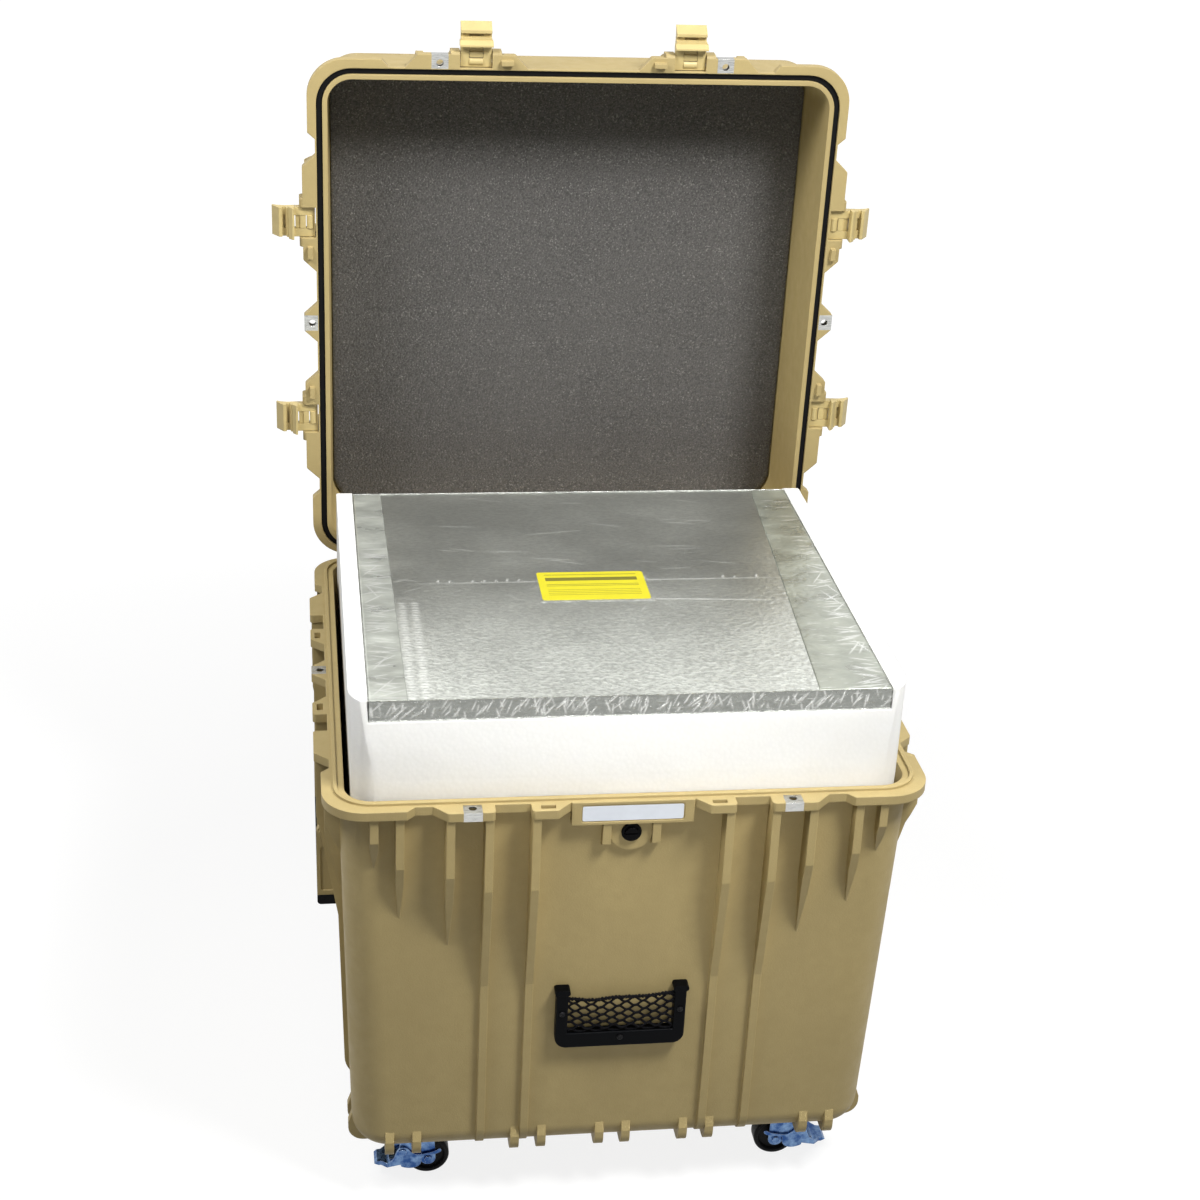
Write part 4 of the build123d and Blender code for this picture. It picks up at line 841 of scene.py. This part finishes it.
class BOX_OT_lid_pad(bpy.types.Operator):
    """Dark open-cell foam pad in the lid"""

    bl_idname = "transport_box.lid_pad"
    bl_label = "Lid pad"

    def execute(self, context):
        settings = context.scene.transport_box.foam
        pad = traced("lid_foam_pad", "lid_pad")
        # meshed level, so that its flat faces stay flat, then leant back as the open lid is
        face = max(pad.data.polygons, key=lambda polygon: polygon.area).normal
        face = face if face.y < 0 else -face
        lean = Matrix.Rotation(atan2(-face.z, -face.y), 4, "X")
        pad.data.transform(lean.inverted())
        shaped_by(pad, "REMESH", mode="VOXEL", voxel_size=settings.pad_voxel, use_smooth_shade=True)
        shaped_by(pad, "SMOOTH", factor=0.5, iterations=2)
        mesh = pad.data
        mesh.transform(lean)
        spots = vectors(mesh.vertices, "co")
        normals = vectors(mesh.vertex_normals, "vector")
        # cut foam is a little uneven, and stays within its own space
        least, uneven, broad = 0.0004, 0.00035, 0.6
        waves = swell(spots[:, 0], spots[:, 2], 0.022, 3)
        waves = waves + broad * swell(spots[:, 0], spots[:, 2], 0.11, 4)
        spots -= normals * (least + uneven * (waves + (1 + broad)) / 2)[:, None]
        mesh.vertices.foreach_set("co", spots.ravel())
        mesh.update()
        place_on(pad, "lid", cut_open_cell_foam(settings))
        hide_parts("lid_foam_pad")
        return {"FINISHED"}


class BOX_OT_liner(bpy.types.Operator):
    """White bead foam liner"""

    bl_idname = "transport_box.liner"
    bl_label = "Foam liner"

    def execute(self, context):
        settings = context.scene.transport_box.foam
        foam = moulded_bead_foam(settings)
        liner = stand_in("foam_liner", "bead_liner", settings.liner_edge, "base", foam)
        return {"FINISHED"}


# The film on the lid panel, in metres: depths run inward from the panel's bounds, and places on
# its top start at the front left corner.
PANEL_EDGE, PACK_EDGE = 0.002, 0.004  # radius on the other panels' and the packs' edges
LEAST_DEPTH = 0.0001
TOP_DEPTH, TOP_DEEPEST = 0.0009, 0.0022
SIDE_DEPTH, SIDE_DEEPEST = 0.0011, 0.003
FINE_WAVE, COARSE_WAVE, SAG_WAVE, SAG = 0.0075, 0.014, 0.09, 0.00012
NEAR_SHARE = 0.62  # crinkled most over this share of the way back
TOP_CREASE, SIDE_CREASE = 0.0007, 0.0009  # height of the creases
FOLD_WIDTH, PUCKER_WIDTH, SIDE_WIDTH, TAPE_WIDTH = 0.0016, 0.0019, 0.0013, 0.0014
FOLD_MARK, PUCKER_MARK, LAP_MARK, TAPE_MARK = 0.4, 0.85, 0.8, 0.8
LADDERS = ((0.042, 0.051), (0.056, 0.0655))  # both ends of the rungs of two ladders of puckers
RUNG, RUNG_FROM, RUNG_SHARE = 0.0062, 0.006, 0.43  # step, first, and share of the way back
LAP_PUCKER, LAP_MARGIN, LAP_SHARE = 0.0135, 0.09, 0.518  # the same of the puckers along a lap
LABEL_MARGIN = 0.003  # flat film round the yellow label
PLAIN_PITCH = 0.02  # mesh size of the hidden underside
TAPE_PITCH, TAPE_MARGIN, TAPE_THICK = 0.0015, 0.001, 0.0003


class BOX_OT_panels(bpy.types.Operator):
    """Vacuum panels in crinkled film, and the coolant packs"""

    bl_idname = "transport_box.panels"
    bl_label = "Panels and coolant"

    def execute(self, context):
        settings = context.scene.transport_box.foil
        low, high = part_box("vip_lid")
        frosting = (low.y, (low.y + high.y) / 2 + 0.06)
        unfrosted = (low.y - 1.0, low.y - 0.9)  # in front of the panel
        film = aluminised_film("Aluminised_film_tight", settings.foil, 0.34, 0.3, 90.0, frosting)
        # the sides' film: a darker copy of the same film, painted shade on the upright faces
        folded = aluminised_film(
            "Aluminised_film_sides_painted_shade", shade(settings.foil, 0.42), 0.26, 0.8, 12.0, unfrosted
        )
        draw = np.random.default_rng(settings.seed)
        self.lid_panel(settings, draw, film, folded)
        self.tapes(draw)
        for node, name in (("vip_base", "panel_floor"), ("vip_sides", "panel_walls")):
            stand_in(node, name, PANEL_EDGE, "base", film)
        bottle = blow_moulded_bottle()
        for node, name, body in (
            ("coolant_base", "coolant_floor_pack", "base"),
            ("coolant_sides", "coolant_wall_packs", "base"),
            ("coolant_top", "coolant_top_pack", "coolant_pack"),
        ):
            stand_in(node, name, PACK_EDGE, body, bottle)
        return {"FINISHED"}

    def lid_panel(self, settings, draw, film, folded):
        """The lid panel: a tight crinkled wrapping, creased where the film is folded and taped."""
        low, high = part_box("vip_lid")
        size = high - low
        label_low, label_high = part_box("notice_label")

        # long faint folds, short puckers in ladders beside the left fold, and the film's laps
        folds = creases(
            draw,
            (12, (0.035, 0.05), (0.0, size.y * 0.6), (0.012, 0.03), (-0.5, 0.5)),
            (22, (0.09, size.x - 0.14), (size.y * 0.5, size.y), (0.02, 0.06), (-0.4, 0.2)),
            (16, (0.10, size.x - 0.14), (0.0, size.y * 0.5), (0.008, 0.025), (-1.2, 1.2)),
        )
        puckers = []
        for first, last in LADDERS:
            for rung in np.arange(RUNG_FROM, size.y * RUNG_SHARE, RUNG):
                start = (first, rung + draw.uniform(0, 0.001))
                puckers.append((start, (last, rung - draw.uniform(0, 0.001))))
        for at in np.arange(LAP_MARGIN, size.x - LAP_MARGIN, LAP_PUCKER):
            if draw.uniform() < 0.7:
                foot = size.y * LAP_SHARE
                puckers.append(((at, foot), (at + 0.002, foot + draw.uniform(0.004, 0.010))))
        laps = [
            ((0.056, size.y * 0.514), (0.52, size.y * 0.516)),
            ((0.30, size.y * 0.426), (0.49, size.y * 0.404)),
        ]

        def top(across, along):
            near = np.clip(1.25 - along / (NEAR_SHARE * size.y), 0, 1) ** 0.7
            fine = swell(across * 0.75, along, FINE_WAVE, 1, 40)
            fine = fine + 0.7 * swell(across, along * 1.3, COARSE_WAVE, 2)
            sag = SAG * swell(across, along, SAG_WAVE, 5)
            height = settings.crinkle * (0.25 + 1.3 * near) * fine + sag
            crease = crease_marks(
                across, along, (folds, FOLD_WIDTH, FOLD_MARK), (puckers, PUCKER_WIDTH, PUCKER_MARK),
                (laps, FOLD_WIDTH, LAP_MARK),
            )
            height = np.maximum(height, TOP_CREASE * crease)
            flat = (
                (across > label_low.x - low.x - LABEL_MARGIN)
                & (across < label_high.x - low.x + LABEL_MARGIN)
                & (along > label_low.y - low.y - LABEL_MARGIN)
                & (along < label_high.y - low.y + LABEL_MARGIN)
            )
            depth = np.clip(TOP_DEPTH - height, LEAST_DEPTH, TOP_DEEPEST)
            return np.where(flat, LEAST_DEPTH, depth), crease

        def side(seed):
            """Dents and short creases of one side, which the seed sets."""

            def depth(across, along):
                dents = swell(across, along, 0.012, seed) + 0.8 * swell(across, along, 0.005, seed + 1)
                crease = np.zeros_like(across)
                lean = np.random.default_rng(seed + 2)
                for _ in range(170):
                    x = lean.uniform(0, 0.55)
                    start, tall = (x, lean.uniform(0, 0.016)), lean.uniform(0.005, 0.017)
                    end = (x + lean.uniform(-0.4, 1.3) * tall, start[1] + tall)
                    mark = lean.uniform(0.4, 1) * ridge(across, along, start, end, SIDE_WIDTH)
                    crease = np.maximum(crease, mark)
                # the film is folded, and bright, along the upper and the lower edge
                fold = np.clip(1 - np.minimum(along, size.z - along) / FOLD_WIDTH, 0, 1)
                bright = 0.55 + 0.45 * swell(across, along, 0.02, seed + 3)
                crease = np.maximum(crease, fold * bright)
                height = np.maximum(0.0004 * dents, SIDE_CREASE * crease)
                return np.clip(SIDE_DEPTH - height, LEAST_DEPTH, SIDE_DEEPEST), crease

            return depth

        def plain(across, along):
            return np.full_like(across, SEAM_DEPTH), np.zeros_like(across)

        fine = settings.pitch
        x, y, z = Vector((1, 0, 0)), Vector((0, 1, 0)), Vector((0, 0, 1))
        right, back, up = size.x * x, size.y * y, size.z * z
        faces = [
            sunk_face(low + up, right, back, -z, fine, top),
            sunk_face(low + right, -right, back, z, PLAIN_PITCH, plain),
            sunk_face(low, right, up, y, fine * 0.6, side(11)),
            sunk_face(low + right + back, -right, up, -y, fine, side(21)),
            sunk_face(low + back, -back, up, x, fine, side(31)),
            sunk_face(low + right, back, up, -x, fine, side(41)),
        ]
        panel = new_piece("film_panel", *gather(faces))
        store_crease(panel, np.concatenate([face[2] for face in faces]))
        panel.data.set_sharp_from_angle(angle=radians(50))
        place_on(panel, "insulated_lid", film)
        # upright faces take the darker copy of the film: painted shade
        panel.data.materials.append(folded)
        for polygon in panel.data.polygons:
            polygon.material_index = int(abs(polygon.normal.z) < 0.5)
        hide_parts("vip_lid")

    def tapes(self, draw):
        """Packing tape along both folded ends, a hair above the film and narrower at the back."""
        low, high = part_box("vip_lid")
        size = high - low
        start = Vector((low.x + TAPE_MARGIN, low.y + TAPE_MARGIN, high.z))
        long = size.y - 2 * TAPE_MARGIN
        clear = clear_tape_on_film("Packing_tape_over_film", linear("#CDD1C8"))
        # the right strip: a darker copy of the same tape, painted shade
        shaded_tape = clear_tape_on_film("Packing_tape_shaded_over_film", linear("#ABAFA3"))
        for name, front_wide, back_wide, seed, tape in (
            ("end_tape_left", 0.040, 0.034, 61, clear), ("end_tape_right", 0.079, 0.043, 62, shaded_tape),
        ):
            wrinkles = creases(
                draw,
                (46, (0.0, 0.012), (0.0, size.y * 0.7), (0.015, 0.034), (-0.5, 0.5)),
                (12, (0.0, 0.01), (0.0, size.y * 0.6), (0.03, 0.05), (-1.2, 1.2)),
                (8, (0.002, 0.004), (size.y * 0.5, size.y), (0.03, 0.04), (-0.1, 0.1)),
            )

            def lie(across, along, seed=seed, wrinkles=wrinkles):
                puckers = np.abs(swell(across * 0.35, along, 0.007, seed, 24))
                crease = crease_marks(across, along, (wrinkles, TAPE_WIDTH, TAPE_MARK))
                return np.clip(0.0004 - 0.0003 * np.maximum(puckers, crease), 0.00002, 0.001), crease

            points, quads, marks = sunk_face(
                start, Vector((front_wide, 0, 0)), Vector((0, long, 0)), Vector((0, 0, -1)),
                TAPE_PITCH, lie,
            )
            share = (points[:, 1] - start.y) / long
            narrower = 1 + (back_wide / front_wide - 1) * share
            points[:, 0] = start.x + (points[:, 0] - start.x) * narrower
            if name.endswith("right"):
                points[:, 0] = low.x + high.x - points[:, 0]
                quads = [tuple(reversed(quad)) for quad in quads]
            piece = new_piece(name, points, quads)
            store_crease(piece, marks)
            shaped_by(piece, "SOLIDIFY", thickness=TAPE_THICK, offset=-1)
            piece.data.shade_smooth()
            place_on(piece, "insulated_lid", tape)


class BOX_OT_labels(bpy.types.Operator):
    """Blank white name label and blank yellow label"""

    bl_idname = "transport_box.labels"
    bl_label = "Labels"

    def execute(self, context):
        dress(printed_vinyl("Vinyl_label_white", linear("#E2E7EE")), "name_label")
        rules = (
            (0.74, 9.0), (0.55, 1.2), (0.50, 1.2), (0.36, 0.9), (0.30, 0.9), (0.24, 0.9), (0.18, 0.9),
            (0.90, 1.4),
        )
        yellow, ink = linear("#D2C82F"), linear("#5A5630")
        vinyl = printed_vinyl("Vinyl_label_yellow", yellow, rules, ink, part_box("notice_label"))
        dress(vinyl, "notice_label")
        return {"FINISHED"}


# The pocket's net, in metres, and its hem's heights and places as shares of the opening
NET_MARGIN, NET_BULGE, CROSSING = 0.0008, 0.0022, 0.0003
HEM_HEIGHT, HEM_DIP, HEM_RISE, HEM_MARGIN = 0.93, 0.05, 0.06, 0.0006
DIP_OVER, RISE_FROM, RISE_OVER = 0.45, 0.72, 0.28
HEM_RADIUS, HEM_GATHER = 0.0019, 0.0005
NET_STEPS, HEM_STEPS = 72, 160
ROW_SHIFT = 0.35  # of a row's height upward, and in radians along the wave of each next row


class BOX_OT_pocket(bpy.types.Operator):
    """Document pocket: frame, screws and elastic net"""

    bl_idname = "transport_box.pocket"
    bl_label = "Document pocket"

    def execute(self, context):
        settings = context.scene.transport_box.net
        black = gloss_black_plastic("ABS_black_moulded", linear("#040507"), 0.34)
        dress(black, "pocket_frame")
        dress(blackened_steel(), "pocket_screws")
        low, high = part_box("pocket_net")
        wide, tall = high.x - low.x, high.z - low.z
        lean = (high.y - low.y - 2 * NET_MARGIN) / tall
        gap = tall / settings.rows

        def on_net(across, up, out=0.0):
            bulge = NET_BULGE * sin(pi * across / wide) * sin(pi * min(max(up / tall, 0), 1))
            return Vector((low.x + across, high.y - NET_MARGIN - lean * up - out - bulge, low.z + up))

        def hem_at(across):
            share = across / wide
            rise = min(max((share - RISE_FROM) / RISE_OVER, 0), 1)
            dip = sin(pi * min(share / DIP_OVER, 1)) ** 2
            height = HEM_HEIGHT - HEM_DIP * dip + HEM_RISE * rise * rise * (3 - 2 * rise)
            return tall * height - HEM_MARGIN

        strands = []
        for row in range(settings.rows):
            path = []
            for step in range(NET_STEPS + 1):
                across = wide * step / NET_STEPS
                phase = pi * (row % 2) + ROW_SHIFT * row
                wave = gap / 2 * sin(2 * pi * across / settings.cell + phase)
                up = (row + ROW_SHIFT) * gap * hem_at(across) / tall + wave
                up = min(max(up, settings.strand / 2), hem_at(across))
                path.append(on_net(across, up, CROSSING * (row % 2)))
            strands.append(tube(path, [settings.strand / 2] * len(path)))
        net = new_piece("elastic_net", *gather(strands))
        cord = knotted_nylon()
        place_on(net, "base", cord)
        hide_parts("pocket_net")
        path, radii = [], []
        for step in range(HEM_STEPS + 1):
            across = wide * step / HEM_STEPS
            up = hem_at(across) + 0.0003 * sin(step * 0.9)
            path.append(on_net(across, up, 0.0002 * sin(step * 1.7)))
            radii.append(HEM_RADIUS + HEM_GATHER * sin(step * 1.25))
        hem = new_piece("net_hem", *tube(path, radii, 8))
        place_on(hem, "base", cord)
        return {"FINISHED"}


class BOX_OT_valve(bpy.types.Operator):
    """Purge valve and its knob"""

    bl_idname = "transport_box.valve"
    bl_label = "Purge valve"

    def execute(self, context):
        dress(gloss_black_plastic("Acetal_black_moulded", linear("#050506"), 0.42), "purge_valve_body")
        dress(gloss_black_plastic("Acetal_black_knob", linear("#060607"), 0.3), "purge_valve_knob")
        return {"FINISHED"}


class BOX_OT_casters(bpy.types.Operator):
    """Four swivel casters with brake pedals"""

    bl_idname = "transport_box.casters"
    bl_label = "Casters"

    def execute(self, context):
        metal = [f"caster_{part}_{at}" for part in ("fork", "pins", "pedal") for at in CASTERS]
        dress(zinc_plated_steel(), "caster_plates", "caster_bolts", *metal)
        tread = extruded_rubber("Wheel_thermoplastic_rubber", linear("#161617"), 0.45, 1.6, 0.06)
        dress(tread, *[f"caster_wheel_{at}" for at in CASTERS])
        return {"FINISHED"}


STEPS = (
    BOX_OT_stage, BOX_OT_case, BOX_OT_latches, BOX_OT_handles, BOX_OT_lid_pad, BOX_OT_liner,
    BOX_OT_panels, BOX_OT_labels, BOX_OT_pocket, BOX_OT_valve, BOX_OT_casters,
)


class BOX_PT_panel(bpy.types.Panel):
    """The box's settings and the steps that make it"""

    bl_idname = "BOX_PT_panel"
    bl_label = "Transport Box"
    bl_space_type = "VIEW_3D"
    bl_region_type = "UI"
    bl_category = "Transport Box"

    def draw(self, context):
        settings = context.scene.transport_box
        for part in settings.__annotations__:
            group = getattr(settings, part)
            column = self.layout.column(align=True)
            for name in group.__annotations__:
                column.prop(group, name)
        for step in STEPS:
            self.layout.operator(step.bl_idname)


CLASSES = (
    StageSettings, CaseSettings, FoamSettings, FoilSettings, NetSettings, BoxSettings, *STEPS,
    BOX_PT_panel,
)


def register():
    for made in CLASSES:
        bpy.utils.register_class(made)
    bpy.types.Scene.transport_box = PointerProperty(type=BoxSettings)


def unregister():
    del bpy.types.Scene.transport_box
    for made in reversed(CLASSES):
        bpy.utils.unregister_class(made)


def main():
    register()
    for step in STEPS:
        getattr(bpy.ops.transport_box, step.bl_idname.split(".")[1])()


if __name__ == "__main__":
    main()
